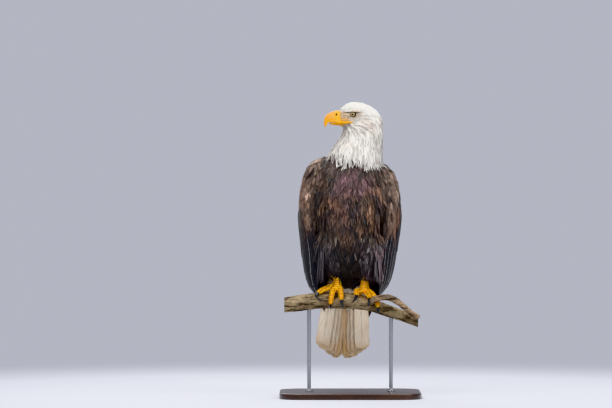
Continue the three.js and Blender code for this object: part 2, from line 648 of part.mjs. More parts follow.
// Each leg: a feathered thigh, the bare shank, and four toes that grip the branch, each with its claw.
const bark = [perchBody(GAP), shootBody(GAP)];
const thighSpaces = [];
for (const side of ["left", "right"]) {
  const leg = new THREE.Group();
  const shankSpace = tarsusBody(side, GAP);
  leg.add(piece(`thigh_${side}`, cut(thighBody(side), shankSpace, ...wingSpaces, tailSpace, ...bark), COLOUR.body));
  leg.add(piece(`shank_${side}`, cut(tarsusBody(side), ...bark), COLOUR.skin, 0.6));
  thighSpaces.push(thighBody(side, GAP), shankSpace);
  const taken = [...bark, shankSpace];
  for (const name of TOES) {
    const claw = cut(clawBody(side, name), ...taken);
    const toe = cut(toeBody(side, name), ...taken, clawBody(side, name, GAP));
    leg.add(piece(`claw_${name}_${side}`, claw, COLOUR.claw, 0.3));
    leg.add(piece(`toe_${name}_${side}`, toe, COLOUR.skin, 0.6));
    taken.push(toeBody(side, name, GAP), clawBody(side, name, GAP));
  }
  roost.add(leg);
}

tail.add(piece("tail", tailBody(), COLOUR.tail));
roost.add(tail);
const trunk = cut(trunkBody(), neckBody(GAP), ...wingSpaces, ...thighSpaces, tailSpace);
roost.add(piece("trunk", trunk, COLOUR.body));

export default root;
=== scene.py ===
"""An adult bald eagle, life size, gripping a short cut branch that two rods hold over a flat base.

Everything is in metres in the part's own frame: +Z is up, the bird faces -Y and its bill points along -X.
Sizes of the bird are given in millimetres, as a taxidermist would note them, and heights on it count from
the perch's top.
"""

import logging
import math
from dataclasses import dataclass, field
from enum import Enum, IntEnum
from typing import Callable, Sequence

import bpy
import numpy as np
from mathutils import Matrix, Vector, noise
from mathutils.bvhtree import BVHTree


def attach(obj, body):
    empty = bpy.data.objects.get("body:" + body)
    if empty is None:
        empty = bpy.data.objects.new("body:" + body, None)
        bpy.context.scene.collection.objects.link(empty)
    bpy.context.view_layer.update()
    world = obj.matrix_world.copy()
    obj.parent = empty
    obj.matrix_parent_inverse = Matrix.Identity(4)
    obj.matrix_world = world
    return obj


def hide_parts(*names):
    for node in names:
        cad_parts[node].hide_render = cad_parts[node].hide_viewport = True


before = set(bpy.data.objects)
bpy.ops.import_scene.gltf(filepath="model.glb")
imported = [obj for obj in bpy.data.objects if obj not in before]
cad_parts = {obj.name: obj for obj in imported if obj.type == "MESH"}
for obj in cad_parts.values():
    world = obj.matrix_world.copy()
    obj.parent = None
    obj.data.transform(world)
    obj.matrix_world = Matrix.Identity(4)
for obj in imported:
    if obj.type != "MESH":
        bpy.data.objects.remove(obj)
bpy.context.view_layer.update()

Array = np.ndarray
Socket = bpy.types.NodeSocket
Object = bpy.types.Object
Material = bpy.types.Material
Colour = tuple[float, float, float, float]
Field = Callable[[Array], Array]  # a number for each place
Choice = Callable[[Array, Array], Array]  # the same, by each place and its region or a random number

MM = 0.001
PERCH_TOP = 320.0  # height of the branch's upper side under the feet, in millimetres
BAKE_PATCH = 0.003  # how wide each small feather is on its bake map
SHARP_QUILL = 75.0  # edges of feathers that turn by more degrees than this stay sharp
SHARP_CERE = 70.0  # and edges of the cere and the lips
SHARP_HORN = 50.0  # and edges of the bill, the claws and the bark

logging.basicConfig(level=logging.INFO, format="%(message)s")
LOG = logging.getLogger("eagle")


# ------------------------------------------------------------------------------------------------ numbers and curves


def srgb(red: float, green: float, blue: float) -> Colour:
    """A colour given from 0 to 255, as the linear colour that a shader takes.

    Args:
        red: red from 0 to 255.
        green: green from 0 to 255.
        blue: blue from 0 to 255.

    Returns:
        Linear red, green, blue and an alpha of 1.
    """
    parts = [c / 255 for c in (red, green, blue)]
    linear = [c / 12.92 if c <= 0.04045 else ((c + 0.055) / 1.055) ** 2.4 for c in parts]
    return (*linear, 1.0)


def smoothstep(low: float, high: float, value: Array) -> Array:
    """A smooth change from 0 to 1.

    Args:
        low: where it is 0.
        high: where it is 1, which may be below low.
        value: the numbers to look up.

    Returns:
        A number from 0 to 1 for each value.
    """
    share = np.clip((np.asarray(value, float) - low) / (high - low), 0, 1)
    return share * share * (3 - 2 * share)


def stretches(values: Array, share: Array) -> tuple[list[Array], Array]:
    """The stretches of a curve through evenly counted values that hold the shares asked for.

    Args:
        values: numbers or points.
        share: where the curve is read, from 0 to 1.

    Returns:
        The four values about each share, and how far each share is between the two in the middle.
    """
    held = np.concatenate([2 * values[:1] - values[1:2], values, 2 * values[-1:] - values[-2:-1]])
    count = len(values) - 1
    place = np.clip(np.asarray(share, float) * count, 0, count - 1e-9)
    i = place.astype(int)
    t = place - i
    return [held[i + k] for k in range(4)], t[..., None] if values.ndim > 1 else t


def bent(start: Array, end: Array, out: Array, into: Array, t: Array) -> Array:
    """A stretch of a curve from start to end at a share t, with its slopes at both ends."""
    bend = (2 * start - 2 * end + out + into) * t**3
    return bend + (3 * end - 3 * start - 2 * out - into) * t**2 + out * t + start


def series(values: Sequence, share: Array) -> Array:
    """A number or a point that changes smoothly through values.

    Args:
        values: numbers or points, evenly spaced from 0 to 1.
        share: where to read them.

    Returns:
        The value at each share.
    """
    (before, start, end, after), t = stretches(np.asarray(values, float), share)
    return bent(start, end, (end - before) / 2, (after - start) / 2, t)


def rounded_path(points: Sequence[Sequence[float]], share: Array) -> Array:
    """A smooth path through unevenly spaced points, whose point i of n is at the share i / (n - 1).

    Args:
        points: the points of the path.
        share: where to read it.

    Returns:
        A point for each share.
    """
    (before, start, end, after), t = stretches(np.asarray(points, float), share)
    first, gap, last = (np.linalg.norm(b - a, axis=-1, keepdims=True) ** 0.5
                        for a, b in ((before, start), (start, end), (end, after)))
    out = (start - before) / first - (end - before) / (first + gap) + (end - start) / gap
    into = (end - start) / gap - (after - start) / (gap + last) + (after - end) / last
    return bent(start, end, out * gap, into * gap, t)


def blend(first: Array, second: Array, share: Array) -> Array:
    """Colours or points between two, by a share for each."""
    return first + (second - first) * np.asarray(share)[..., None]


def unit(vectors: Array) -> Array:
    """Vectors brought to a length of 1."""
    return vectors / np.maximum(np.linalg.norm(vectors, axis=-1, keepdims=True), 1e-12)


def clouds(points: Array, size: float, seed: float) -> Array:
    """Soft noise from about -1 to 1.

    Args:
        points: places in metres.
        size: how wide its patches are, in metres.
        seed: another number gives other patches.

    Returns:
        A number for each point.
    """
    shift = Vector((seed * 7.31, seed * 3.17, seed * 5.77))
    spots = (np.asarray(points) / size).reshape(-1, 3).tolist()
    return np.array([noise.noise(Vector(p) + shift) for p in spots]).reshape(np.shape(points)[:-1])


# ------------------------------------------------------------------------------------------------------- mesh making


def mesh_object(name: str, points: Array, faces: Array) -> Object:
    """A new smooth mesh object at the origin.

    Args:
        name: its name.
        points: its vertices in metres.
        faces: rows of vertex numbers, where a -1 at a row's end marks a triangle among quads.

    Returns:
        The object, linked to the scene.
    """
    faces = np.asarray(faces)
    counts = (faces >= 0).sum(axis=1)
    loops = faces[faces >= 0]
    mesh = bpy.data.meshes.new(name)
    mesh.vertices.add(len(points))
    mesh.vertices.foreach_set("co", np.asarray(points, np.float32).ravel())
    mesh.loops.add(len(loops))
    mesh.loops.foreach_set("vertex_index", loops.astype(np.int32))
    mesh.polygons.add(len(faces))
    starts = np.concatenate([[0], np.cumsum(counts)[:-1]])
    mesh.polygons.foreach_set("loop_start", starts.astype(np.int32))
    mesh.polygons.foreach_set("loop_total", counts.astype(np.int32))
    mesh.polygons.foreach_set("use_smooth", np.full(len(faces), True))
    mesh.update(calc_edges=True)
    mesh.validate()
    obj = bpy.data.objects.new(name, mesh)
    bpy.context.scene.collection.objects.link(obj)
    return obj


def read(items: bpy.types.bpy_prop_collection, key: str, width: int, kind: type = np.int32) -> Array:
    """Numbers that a mesh holds.

    Args:
        items: the mesh's vertices, edges, loops or another of its lists.
        key: what is read of each item.
        width: how many numbers an item has.
        kind: their type.

    Returns:
        One row for each item, or a flat array if an item has one number.
    """
    flat = np.empty(len(items) * width, kind)
    items.foreach_get(key, flat)
    return flat.reshape(-1, width) if width > 1 else flat


def vertices_of(obj: Object) -> Array:
    """The vertices of a mesh object as an array of points."""
    return read(obj.data.vertices, "co", 3, np.float32).astype(float)


def normals_of(obj: Object) -> Array:
    """The vertex normals of a mesh object."""
    return read(obj.data.vertices, "normal", 3, np.float32).astype(float)


def edges_of(obj: Object) -> Array:
    """The edges of a mesh object as rows of two vertex numbers."""
    return read(obj.data.edges, "vertices", 2)


def triangles_of(obj: Object) -> Array:
    """The triangles that an object's faces are drawn with, as rows of vertex numbers."""
    obj.data.calc_loop_triangles()
    return read(obj.data.loop_triangles, "vertices", 3)


def move_vertices(obj: Object, points: Array) -> None:
    """Puts the vertices of a mesh object at new places."""
    obj.data.vertices.foreach_set("co", points.astype(np.float32).ravel())
    obj.data.update()


def node_mesh(name: str) -> tuple[Array, Array]:
    """A CAD node's solid with its loose triangles merged.

    Args:
        name: the node's name.

    Returns:
        Its points in metres, and its triangles as rows of point numbers.
    """
    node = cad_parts[name]
    triangles = triangles_of(node)
    places = np.round(vertices_of(node), 6)
    points, where = np.unique(places, axis=0, return_inverse=True)
    a, b, c = where.reshape(-1)[triangles].T
    whole = (a != b) & (b != c) & (a != c)
    return points, np.stack([a, b, c], 1)[whole]


def point_normals(points: Array, triangles: Array) -> Array:
    """A normal for each point, from the triangles that meet there.

    Args:
        points: the mesh's points.
        triangles: its triangles, as rows of point numbers.

    Returns:
        One unit vector for each point.
    """
    a, b, c = (points[triangles[:, i]] for i in range(3))
    facing = np.cross(b - a, c - a)
    total = np.zeros_like(points)
    for i in range(3):
        np.add.at(total, triangles[:, i], facing)
    return unit(total)


def relax(values: Array, edges: Array, rounds: int, weight: Array | float, keep: float = 0.0) -> Array:
    """Evens out numbers or places over a mesh.

    Args:
        values: one row for each vertex.
        edges: the mesh's edges.
        rounds: how many times each value moves towards its neighbours.
        weight: how far each moves, or how far they all do, from 0 to 1.
        keep: how far each moves back after every round, so that a round shape keeps its size.

    Returns:
        The new values.
    """
    count = len(values)
    share = np.maximum(np.bincount(edges.ravel(), minlength=count), 1)[:, None]
    out = values.reshape(count, -1).astype(float).copy()
    pull = np.broadcast_to(np.asarray(weight, float).reshape(-1, 1), (count, 1))
    for _ in range(rounds):
        for step in (1.0, -keep) if keep else (1.0,):
            mean = np.empty_like(out)
            for k in range(out.shape[1]):
                near = np.bincount(edges[:, 0], out[edges[:, 1], k], count)
                near += np.bincount(edges[:, 1], out[edges[:, 0], k], count)
                mean[:, k] = near / share[:, 0]
            out += (mean - out) * pull * step
    return out.reshape(values.shape)


def only(obj: Object) -> None:
    """Selects one object alone and makes it the active one.

    Args:
        obj: the object.
    """
    bpy.ops.object.select_all(action="DESELECT")
    obj.select_set(True)
    bpy.context.view_layer.objects.active = obj


def pick(obj: Object, kind: str, picked: Array) -> None:
    """Selects some of an object's parts and leaves it in edit mode.

    Args:
        obj: the object.
        kind: "polygons" or "edges".
        picked: whether each of them is selected.
    """
    only(obj)
    bpy.context.tool_settings.mesh_select_mode = (False, kind == "edges", kind == "polygons")
    bpy.ops.object.mode_set(mode="EDIT")
    bpy.ops.mesh.select_all(action="DESELECT")
    bpy.ops.object.mode_set(mode="OBJECT")
    getattr(obj.data, kind).foreach_set("select", picked)
    bpy.ops.object.mode_set(mode="EDIT")


def unwrapped(obj: Object, steepest: float = 66.0, margin: float = 0.01) -> None:
    """Unwraps a piece onto a bake map, in place of any map that it has.

    Args:
        obj: the piece.
        steepest: how far faces of one patch may turn from each other, in degrees.
        margin: how far patches stay apart.
    """
    only(obj)
    for layer in list(obj.data.uv_layers):
        obj.data.uv_layers.remove(layer)
    obj.data.uv_layers.new(name="OFBake")
    bpy.ops.object.mode_set(mode="EDIT")
    bpy.ops.mesh.select_all(action="SELECT")
    bpy.ops.uv.smart_project(angle_limit=math.radians(steepest), island_margin=margin)
    bpy.ops.object.mode_set(mode="OBJECT")


def modified(obj: Object, kind: str, **settings: object) -> Object:
    """Adds a modifier and applies it.

    Args:
        obj: the object to change.
        kind: the modifier's type.
        **settings: its settings.

    Returns:
        The same object.
    """
    only(obj)
    modifier = obj.modifiers.new(kind.title(), kind)
    for key, value in settings.items():
        setattr(modifier, key, value)
    bpy.ops.object.modifier_apply(modifier=modifier.name)
    return obj


def tube(rings: Array, closed: bool = True) -> tuple[Array, Array]:
    """The surface over a row of rings.

    Args:
        rings: an array of rings by points by 3.
        closed: whether each end gets a fan of triangles about a middle point.

    Returns:
        Points, and faces as rows of four numbers with -1 for a triangle's fourth.
    """
    count, sides = rings.shape[:2]
    row = np.arange(sides)
    step = np.roll(row, -1)
    faces = []
    for r in range(count - 1):
        a, b = r * sides, (r + 1) * sides
        faces.append(np.stack([a + row, a + step, b + step, b + row], 1))
    points = rings.reshape(-1, 3)
    if closed:
        middle = np.stack([rings[0].mean(0), rings[-1].mean(0)])
        first, last = len(points), len(points) + 1
        end = (count - 1) * sides
        blank = np.full(sides, -1)
        faces.append(np.stack([step, row, np.full(sides, first), blank], 1))
        faces.append(np.stack([end + row, end + step, np.full(sides, last), blank], 1))
        points = np.concatenate([points, middle])
    return points, np.concatenate(faces)


def swept(rings: Array, name: str) -> Object:
    """A closed solid over rings, smooth but for its sharp edges.

    Args:
        rings: rings of points, one after the other.
        name: the object's name.

    Returns:
        The solid's object.
    """
    points, faces = tube(rings)
    obj = mesh_object(name, points, faces)
    obj.data.set_sharp_from_angle(angle=math.radians(SHARP_HORN))
    return obj


def merged(parts: Sequence[tuple[Array, Array]]) -> tuple[Array, Array]:
    """Several surfaces, each given as points and faces, as one set of points and faces.

    Args:
        parts: the surfaces, where a -1 at a face's end marks a triangle.

    Returns:
        The points and the faces of them all.
    """
    start, points, faces = 0, [], []
    for places, sides in parts:
        points.append(places)
        faces.append(np.where(sides < 0, -1, sides + start))
        start += len(places)
    return np.concatenate(points), np.concatenate(faces)


def joined(name: str, parts: Sequence[tuple[Array, Array]]) -> Object:
    """One object of several surfaces, each given as points and faces."""
    return mesh_object(name, *merged(parts))


def rod_rings(path: Array, up: Array, width: Array, depth: Array, sides: int) -> Array:
    """Rings round a path.

    Args:
        path: the points of the path.
        up: the way that depth is measured at each point.
        width: half the width at each point, or an array of points by sides.
        depth: half the depth likewise.
        sides: points in each ring.

    Returns:
        An array of rings by points by 3.
    """
    tangent = unit(np.gradient(path, axis=0))
    across = unit(np.cross(up, tangent))
    high = np.cross(tangent, across)
    angle = np.arange(sides) / sides * 2 * np.pi
    width = np.broadcast_to(np.asarray(width).reshape(len(path), -1), (len(path), sides))
    depth = np.broadcast_to(np.asarray(depth).reshape(len(path), -1), (len(path), sides))
    ring = path[:, None] + across[:, None] * (np.cos(angle) * width)[..., None]
    return ring + high[:, None] * (np.sin(angle) * depth)[..., None]


# --------------------------------------------------------------------------------------------------------- finishes


class Recipe:
    """A material's node tree, put together one node at a time."""

    def __init__(self, name: str, constants: dict[str, object]) -> None:
        """Starts a material.

        Args:
            name: the material's name.
            constants: values for the surface shader's own sockets.
        """
        self.material = bpy.data.materials.new(name)
        self.material.use_nodes = True
        self.tree = self.material.node_tree
        self.tree.nodes.clear()
        self.surface = self.add("ShaderNodeBsdfPrincipled", constants)
        output = self.add("ShaderNodeOutputMaterial", {})
        self.tree.links.new(self.surface.outputs[0], output.inputs["Surface"])

    def add(self, kind: str, inputs: dict, **settings: object) -> bpy.types.Node:
        """Adds a node.

        Args:
            kind: the node's type.
            inputs: a value or a socket for each named or numbered input.
            **settings: the node's own settings.

        Returns:
            The node.
        """
        node = self.tree.nodes.new(kind)
        for key, value in settings.items():
            setattr(node, key, value)
        for key, value in inputs.items():
            if isinstance(value, Socket):
                self.tree.links.new(value, node.inputs[key])
            else:
                node.inputs[key].default_value = value
        return node

    def set(self, key: str, value: Socket) -> None:
        """Joins a socket to an input of the surface shader."""
        self.tree.links.new(value, self.surface.inputs[key])

    def place(self) -> Socket:
        """The place on the object, in metres."""
        return self.add("ShaderNodeTexCoord", {}).outputs["Object"]

    def moved(self, vector: Socket, scale: Sequence[float], shift: Sequence[float] = (0, 0, 0)) -> Socket:
        """A place stretched and shifted."""
        inputs = {"Vector": vector, "Scale": scale, "Location": shift}
        return self.add("ShaderNodeMapping", inputs).outputs[0]

    def split(self, vector: Socket) -> list[Socket]:
        """The three parts of a vector."""
        return list(self.add("ShaderNodeSeparateXYZ", {0: vector}).outputs)

    def noise(self, vector: Socket, scale: float, detail: float = 3.0, rough: float = 0.55) -> Socket:
        """Soft noise from 0 to 1 at a scale."""
        inputs = {"Vector": vector, "Scale": scale, "Detail": detail, "Roughness": rough}
        return self.add("ShaderNodeTexNoise", inputs).outputs["Fac"]

    def cells(self, vector: Socket, scale: float) -> Socket:
        """Distance to the nearest middle of a pattern of cells."""
        return self.add("ShaderNodeTexVoronoi", {"Vector": vector, "Scale": scale}).outputs["Distance"]

    def math(self, how: str, a: Socket | float, b: Socket | float = 0.0, clamp: bool = False) -> Socket:
        """One step of arithmetic."""
        return self.add("ShaderNodeMath", {0: a, 1: b}, operation=how, use_clamp=clamp).outputs[0]

    def times(self, a: Socket | float, b: Socket | float) -> Socket:
        """Two numbers multiplied."""
        return self.math("MULTIPLY", a, b)

    def plus(self, a: Socket | float, b: Socket | float) -> Socket:
        """Two numbers added."""
        return self.math("ADD", a, b)

    def step(self, value: Socket, low: float, high: float) -> Socket:
        """A smooth change from 0 at low to 1 at high.

        Args:
            value: the number that is looked up.
            low: where it is 0.
            high: where it is 1.

        Returns:
            The changed number.
        """
        inputs = {"Value": value, "From Min": low, "From Max": high}
        node = self.add("ShaderNodeMapRange", inputs, interpolation_type="SMOOTHSTEP")
        return node.outputs[0]

    def ramp(self, value: Socket, stops: Sequence[tuple[float, Sequence[float]]]) -> Socket:
        """A colour that follows a number through stops.

        Args:
            value: the number that is looked up.
            stops: each stop's number and colour.

        Returns:
            The colour.
        """
        node = self.add("ShaderNodeValToRGB", {0: value})
        elements = node.color_ramp.elements
        elements[0].position, elements[0].color = stops[0]
        elements[1].position, elements[1].color = stops[-1]
        for position, colour in stops[1:-1]:
            elements.new(position).color = colour
        return node.outputs[0]

    def mix(self, share: Socket | float, a: object, b: object, how: str = "MIX") -> Socket:
        """Two colours mixed by a share."""
        node = self.add("ShaderNodeMix", {0: share, 6: a, 7: b}, data_type="RGBA", blend_type=how)
        return node.outputs[2]

    def spread(self, value: Socket, low: float, high: float, least: float, most: float) -> Socket:
        """A number from low to high, brought to the range from least to most."""
        inputs = {"Value": value, "From Min": low, "From Max": high, "To Min": least, "To Max": most}
        return self.add("ShaderNodeMapRange", inputs).outputs[0]

    def shaded(self, colour: object, value: Socket, low: float, high: float, least: float,
               most: float) -> Socket:
        """A colour made darker or lighter by a number, as spread gives it.

        Args:
            colour: the colour.
            value: the number.
            low: its lowest value.
            high: its highest value.
            least: the colour's brightness at the lowest value.
            most: and at the highest value.

        Returns:
            The shaded colour.
        """
        by = self.spread(value, low, high, least, most)
        grey = self.add("ShaderNodeCombineColor", {0: by, 1: by, 2: by}).outputs[0]
        return self.mix(1.0, colour, grey, "MULTIPLY")

    def attribute(self, name: str, output: str = "Color") -> Socket:
        """A value that the mesh carries."""
        return self.add("ShaderNodeAttribute", {}, attribute_name=name).outputs[output]

    def bump(self, height: Socket, strength: float, distance: float) -> None:
        """Relief on the surface, whose full height is distance, in metres."""
        inputs = {"Height": height, "Strength": strength, "Distance": distance}
        self.set("Normal", self.add("ShaderNodeBump", inputs).outputs[0])


@dataclass(frozen=True)
class Plumage:
    """Feathers: a tint and a rim colour for each one, with barbs that slant off a shaft."""

    name: str
    barbs: float = 11.0  # bands of barbs along a feather
    slant: float = 0.45
    rim: float = 0.72  # where the rim colour starts, from the shaft at 0 to the edge at 1
    edging: float = 0.8  # how strongly the rim colour shows there
    contrast: float = 0.32
    shaft: Colour = srgb(58, 44, 38)
    spine: float = 0.45  # how strongly the shaft's colour shows
    streak: float = 0.0  # how strongly the rim colour runs down the middle
    worn: float = 0.5  # how raggedly the rim colour ends
    sides: float = 1.0  # how far the rim colour runs up the sides from the tip
    roughness: float = 0.62
    sheen: float = 0.15

    def material(self) -> Material:
        """The finish as a material.

        Returns:
            The material.
        """
        constants = {"Roughness": self.roughness, "Specular IOR Level": 0.35, "Sheen Weight": self.sheen,
                     "Sheen Roughness": 0.5}
        made = Recipe(self.name, constants)
        uv = made.add("ShaderNodeUVMap", {}, uv_map="vane").outputs[0]
        u, v, _ = made.split(uv)
        side = made.math("SUBTRACT", made.times(u, 2.0), 1.0)
        across = made.math("ABSOLUTE", side)
        along = made.math("SUBTRACT", v, made.times(across, self.slant / 3))
        seed = made.attribute("seed", "Fac")
        grain = made.add("ShaderNodeCombineXYZ", {
            0: made.times(along, self.barbs),
            1: made.times(side, 0.8),
            2: made.times(seed, 91.0)}).outputs[0]
        barbs = made.noise(grain, 1.0, 4.0, 0.7)
        wear = made.times(made.math("SUBTRACT", barbs, 0.5), self.worn)
        tip = made.math("DIVIDE", made.math("SUBTRACT", v, 0.5), 0.5)
        edge = made.math("MAXIMUM", made.times(across, self.sides), tip)
        edge = made.plus(edge, wear)
        rim = made.times(made.step(edge, self.rim, 1.0), self.edging)
        colour = made.mix(rim, made.attribute("tint"), made.attribute("rim"))
        colour = made.shaded(colour, barbs, 0.25, 0.75, 1 - self.contrast, 1 + self.contrast)
        if self.streak:
            split = made.plus(across, made.times(made.math("SUBTRACT", barbs, 0.5), 0.9))
            middle = made.times(made.step(split, 0.42, 0.05), made.step(v, 0.35, 0.7))
            colour = made.mix(made.times(middle, self.streak), colour, made.attribute("rim"))
        shaft = made.times(made.step(across, 0.10, 0.03), made.step(v, 0.95, 0.8))
        colour = made.mix(made.times(shaft, self.spine), colour, self.shaft)
        made.set("Base Color", colour)
        height = made.plus(made.times(barbs, 0.7), made.times(shaft, 0.6))
        made.bump(height, 0.5, 0.0006)
        return made.material


@dataclass(frozen=True)
class BareSkin:
    """Skin in the tint that the mesh carries, with fine pores."""

    name: str
    pore: float = 900.0
    roughness: float = 0.55
    depth: float = 0.0003
    gloss: float = 0.35

    def material(self) -> Material:
        """The finish as a material.

        Returns:
            The material.
        """
        made = Recipe(self.name, {"Roughness": self.roughness, "Specular IOR Level": self.gloss})
        place = made.place()
        pores = made.cells(place, self.pore)
        blotch = made.noise(place, 220.0, 4.0)
        made.set("Base Color", made.shaded(made.attribute("tint"), blotch, 0.3, 0.7, 0.82, 1.12))
        made.bump(made.plus(pores, blotch), 0.5, self.depth)
        return made.material


@dataclass(frozen=True)
class Horn:
    """Horn that grows in fine layers along its length."""

    name: str
    light: Colour
    deep: Colour
    stretch: tuple[float, float, float] = (40.0, 160.0, 260.0)
    roughness: float = 0.3
    coat: float = 0.25
    gloss: float = 0.5

    def material(self) -> Material:
        """The finish as a material.

        Returns:
            The material.
        """
        constants = {"Roughness": self.roughness, "Coat Weight": self.coat,
                     "Coat Roughness": 0.15, "Specular IOR Level": self.gloss}
        made = Recipe(self.name, constants)
        place = made.place()
        layers = made.noise(made.moved(place, self.stretch), 1.0, 5.0, 0.6)
        patches = made.noise(place, 70.0, 3.0)
        colour = made.mix(made.step(patches, 0.3, 0.72), self.light, self.deep)
        colour = made.shaded(colour, layers, 0.3, 0.7, 0.8, 1.12)
        # Painted shade where the mesh carries it, on the hook and along the bill's lower edge.
        colour = made.mix(made.attribute("stain", "Fac"), colour, srgb(60, 34, 10))
        made.set("Base Color", colour)
        made.set("Roughness", made.spread(layers, 0.0, 1.0, self.roughness - 0.08, self.roughness + 0.16))
        made.bump(layers, 0.35, 0.0004)
        return made.material


@dataclass(frozen=True)
class EyeGlass:
    """An eye: a black pupil, a straw iris with fine rays, and a dark rim, all under a wet surface."""

    name: str = "eagle_eye"

    def material(self) -> Material:
        """The finish as a material.

        Returns:
            The material.
        """
        made = Recipe(self.name, {"Roughness": 0.08, "Coat Weight": 1.0, "Coat Roughness": 0.02,
                                  "Specular IOR Level": 0.6})
        out = made.attribute("ring", "Fac")
        ray = made.attribute("ray", "Fac")
        rays = made.noise(made.add("ShaderNodeCombineXYZ", {0: ray, 1: out}).outputs[0], 9.0, 4.0, 0.7)
        ring = made.plus(out, made.times(made.math("SUBTRACT", rays, 0.5), 0.10))
        stops = [(0.0, srgb(6, 5, 5)), (0.415, srgb(8, 7, 6)), (0.46, srgb(128, 98, 46)),
                 (0.56, srgb(202, 176, 108)), (0.74, srgb(184, 154, 82)), (0.83, srgb(104, 78, 40)),
                 (0.90, srgb(16, 12, 10)), (1.0, srgb(20, 15, 13))]
        made.set("Base Color", made.ramp(ring, stops))
        return made.material


@dataclass(frozen=True)
class Bark:
    """Weathered bark: grey-brown ridges, dark cracks along the grain, and lichen."""

    name: str
    light: Colour
    dark: Colour
    lichen: float = 0.35  # how much of it lichen covers

    def material(self) -> Material:
        """The finish as a material.

        Returns:
            The material.
        """
        made = Recipe(self.name, {"Roughness": 0.88, "Specular IOR Level": 0.2})
        place = made.place()
        grain = made.noise(made.moved(place, (18.0, 120.0, 120.0)), 1.0, 6.0, 0.65)
        fine = made.noise(made.moved(place, (110.0, 420.0, 420.0)), 1.0, 4.0, 0.6)
        patches = made.noise(place, 24.0, 4.0)
        colour = made.mix(made.step(patches, 0.35, 0.68), self.light, self.dark)
        colour = made.shaded(colour, fine, 0.3, 0.7, 0.72, 1.2)
        red = made.step(made.noise(made.moved(place, (30.0, 60.0, 60.0), (3, 1, 7)), 1.0, 3.0), 0.56, 0.7)
        colour = made.mix(made.times(red, 0.45), colour, srgb(128, 84, 66))
        crack = made.step(grain, 0.49, 0.41)
        colour = made.mix(made.times(crack, 0.85), colour, srgb(44, 36, 28))
        spots = made.noise(made.moved(place, (1, 1, 1), (5, 2, 4)), 95.0, 5.0, 0.7)
        grown = made.times(made.step(spots, 0.60, 0.68), made.step(patches, 0.62, 0.40))
        grown = made.math("MULTIPLY", grown, self.lichen * 2, clamp=True)
        crust = made.step(made.noise(place, 260.0, 2.0), 0.42, 0.58)
        green = made.mix(crust, srgb(186, 190, 180), srgb(86, 92, 62))
        made.set("Base Color", made.mix(grown, colour, green))
        height = made.plus(made.times(grain, 1.2), made.times(fine, 0.5))
        made.bump(made.plus(height, made.times(grown, 0.4)), 0.9, 0.002)
        return made.material


@dataclass(frozen=True)
class LacqueredWood:
    """Dark wood under a satin lacquer."""

    name: str = "stand_lacquered_wood"

    def material(self) -> Material:
        """The finish as a material.

        Returns:
            The material.
        """
        made = Recipe(self.name, {"Roughness": 0.32, "Coat Weight": 0.5, "Coat Roughness": 0.12})
        place = made.place()
        bent = made.noise(made.moved(place, (3.0, 22.0, 3.0)), 1.0, 3.0)
        grain = made.noise(made.moved(place, (14.0, 300.0, 60.0)), 1.0, 6.0, 0.6)
        value = made.plus(made.times(bent, 0.5), made.times(grain, 0.5))
        stops = [(0.3, srgb(38, 25, 19)), (0.5, srgb(62, 42, 31)), (0.7, srgb(84, 58, 42))]
        made.set("Base Color", made.ramp(value, stops))
        made.bump(grain, 0.15, 0.0003)
        return made.material


@dataclass(frozen=True)
class BrushedSteel:
    """Steel brushed round the rod."""

    name: str = "stand_brushed_steel"

    def material(self) -> Material:
        """The finish as a material.

        Returns:
            The material.
        """
        made = Recipe(self.name, {"Metallic": 1.0, "Roughness": 0.34})
        place = made.place()
        lines = made.noise(made.moved(place, (40.0, 40.0, 2600.0)), 1.0, 3.0, 0.6)
        made.set("Base Color", made.mix(lines, srgb(150, 152, 155), srgb(196, 198, 201)))
        made.set("Roughness", made.spread(lines, 0.0, 1.0, 0.26, 0.42))
        made.bump(lines, 0.2, 0.0001)
        return made.material


BACKDROP = srgb(186, 188, 200)


@dataclass(frozen=True)
class StudioFloor:
    """A plain pale floor that fades into the backdrop's own colour further out."""

    name: str = "studio_floor"
    near: Colour = srgb(196, 197, 204)
    far: Colour = BACKDROP
    fade: tuple[float, float] = (0.75, 2.6)

    def material(self) -> Material:
        """The finish as a material.

        Returns:
            The material.
        """
        made = Recipe(self.name, {"Roughness": 0.9, "Base Color": self.near, "Specular IOR Level": 0.1})
        x, y, _ = made.split(made.place())
        square = made.plus(made.times(x, x), made.times(y, y))
        share = made.step(made.math("SQRT", square), *self.fade)
        glow = made.add("ShaderNodeEmission", {"Color": self.far, "Strength": 1.0})
        both = made.add("ShaderNodeMixShader", {0: share, 1: made.surface.outputs[0], 2: glow.outputs[0]})
        output = next(n for n in made.tree.nodes if n.type == "OUTPUT_MATERIAL")
        made.tree.links.new(both.outputs[0], output.inputs["Surface"])
        return made.material


def dress(obj: Object, material: Material, replaces: Sequence[str] = ()) -> Object:
    """Gives a finished piece its material and its place in the part.

    Args:
        obj: the piece.
        material: its finish.
        replaces: the CAD nodes that it stands for.

    Returns:
        The piece.
    """
    obj.data.materials.clear()
    obj.data.materials.append(material)
    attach(obj, "root")
    if replaces:
        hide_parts(*replaces)
    obj.data.calc_loop_triangles()
    LOG.info("%s: %d triangles", obj.name, len(obj.data.loop_triangles))
    return obj


def point_colour(obj: Object, name: str, values: Array) -> None:
    """Stores a colour for each vertex of an object under a name.

    Args:
        obj: the object.
        name: the attribute's name.
        values: red, green and blue for each vertex.
    """
    layer = obj.data.attributes.new(name, "FLOAT_COLOR", "POINT")
    full = np.ones((len(values), 4), np.float32)
    full[:, :3] = values
    layer.data.foreach_set("color", full.ravel())


def point_number(obj: Object, name: str, values: Array | float) -> None:
    """Stores a number for each vertex of an object under a name.

    Args:
        obj: the object.
        name: the attribute's name.
        values: a number for each vertex, or one for them all.
    """
    layer = obj.data.attributes.new(name, "FLOAT", "POINT")
    full = np.broadcast_to(np.asarray(values, np.float32).ravel(), len(obj.data.vertices))
    layer.data.foreach_set("value", np.ascontiguousarray(full))


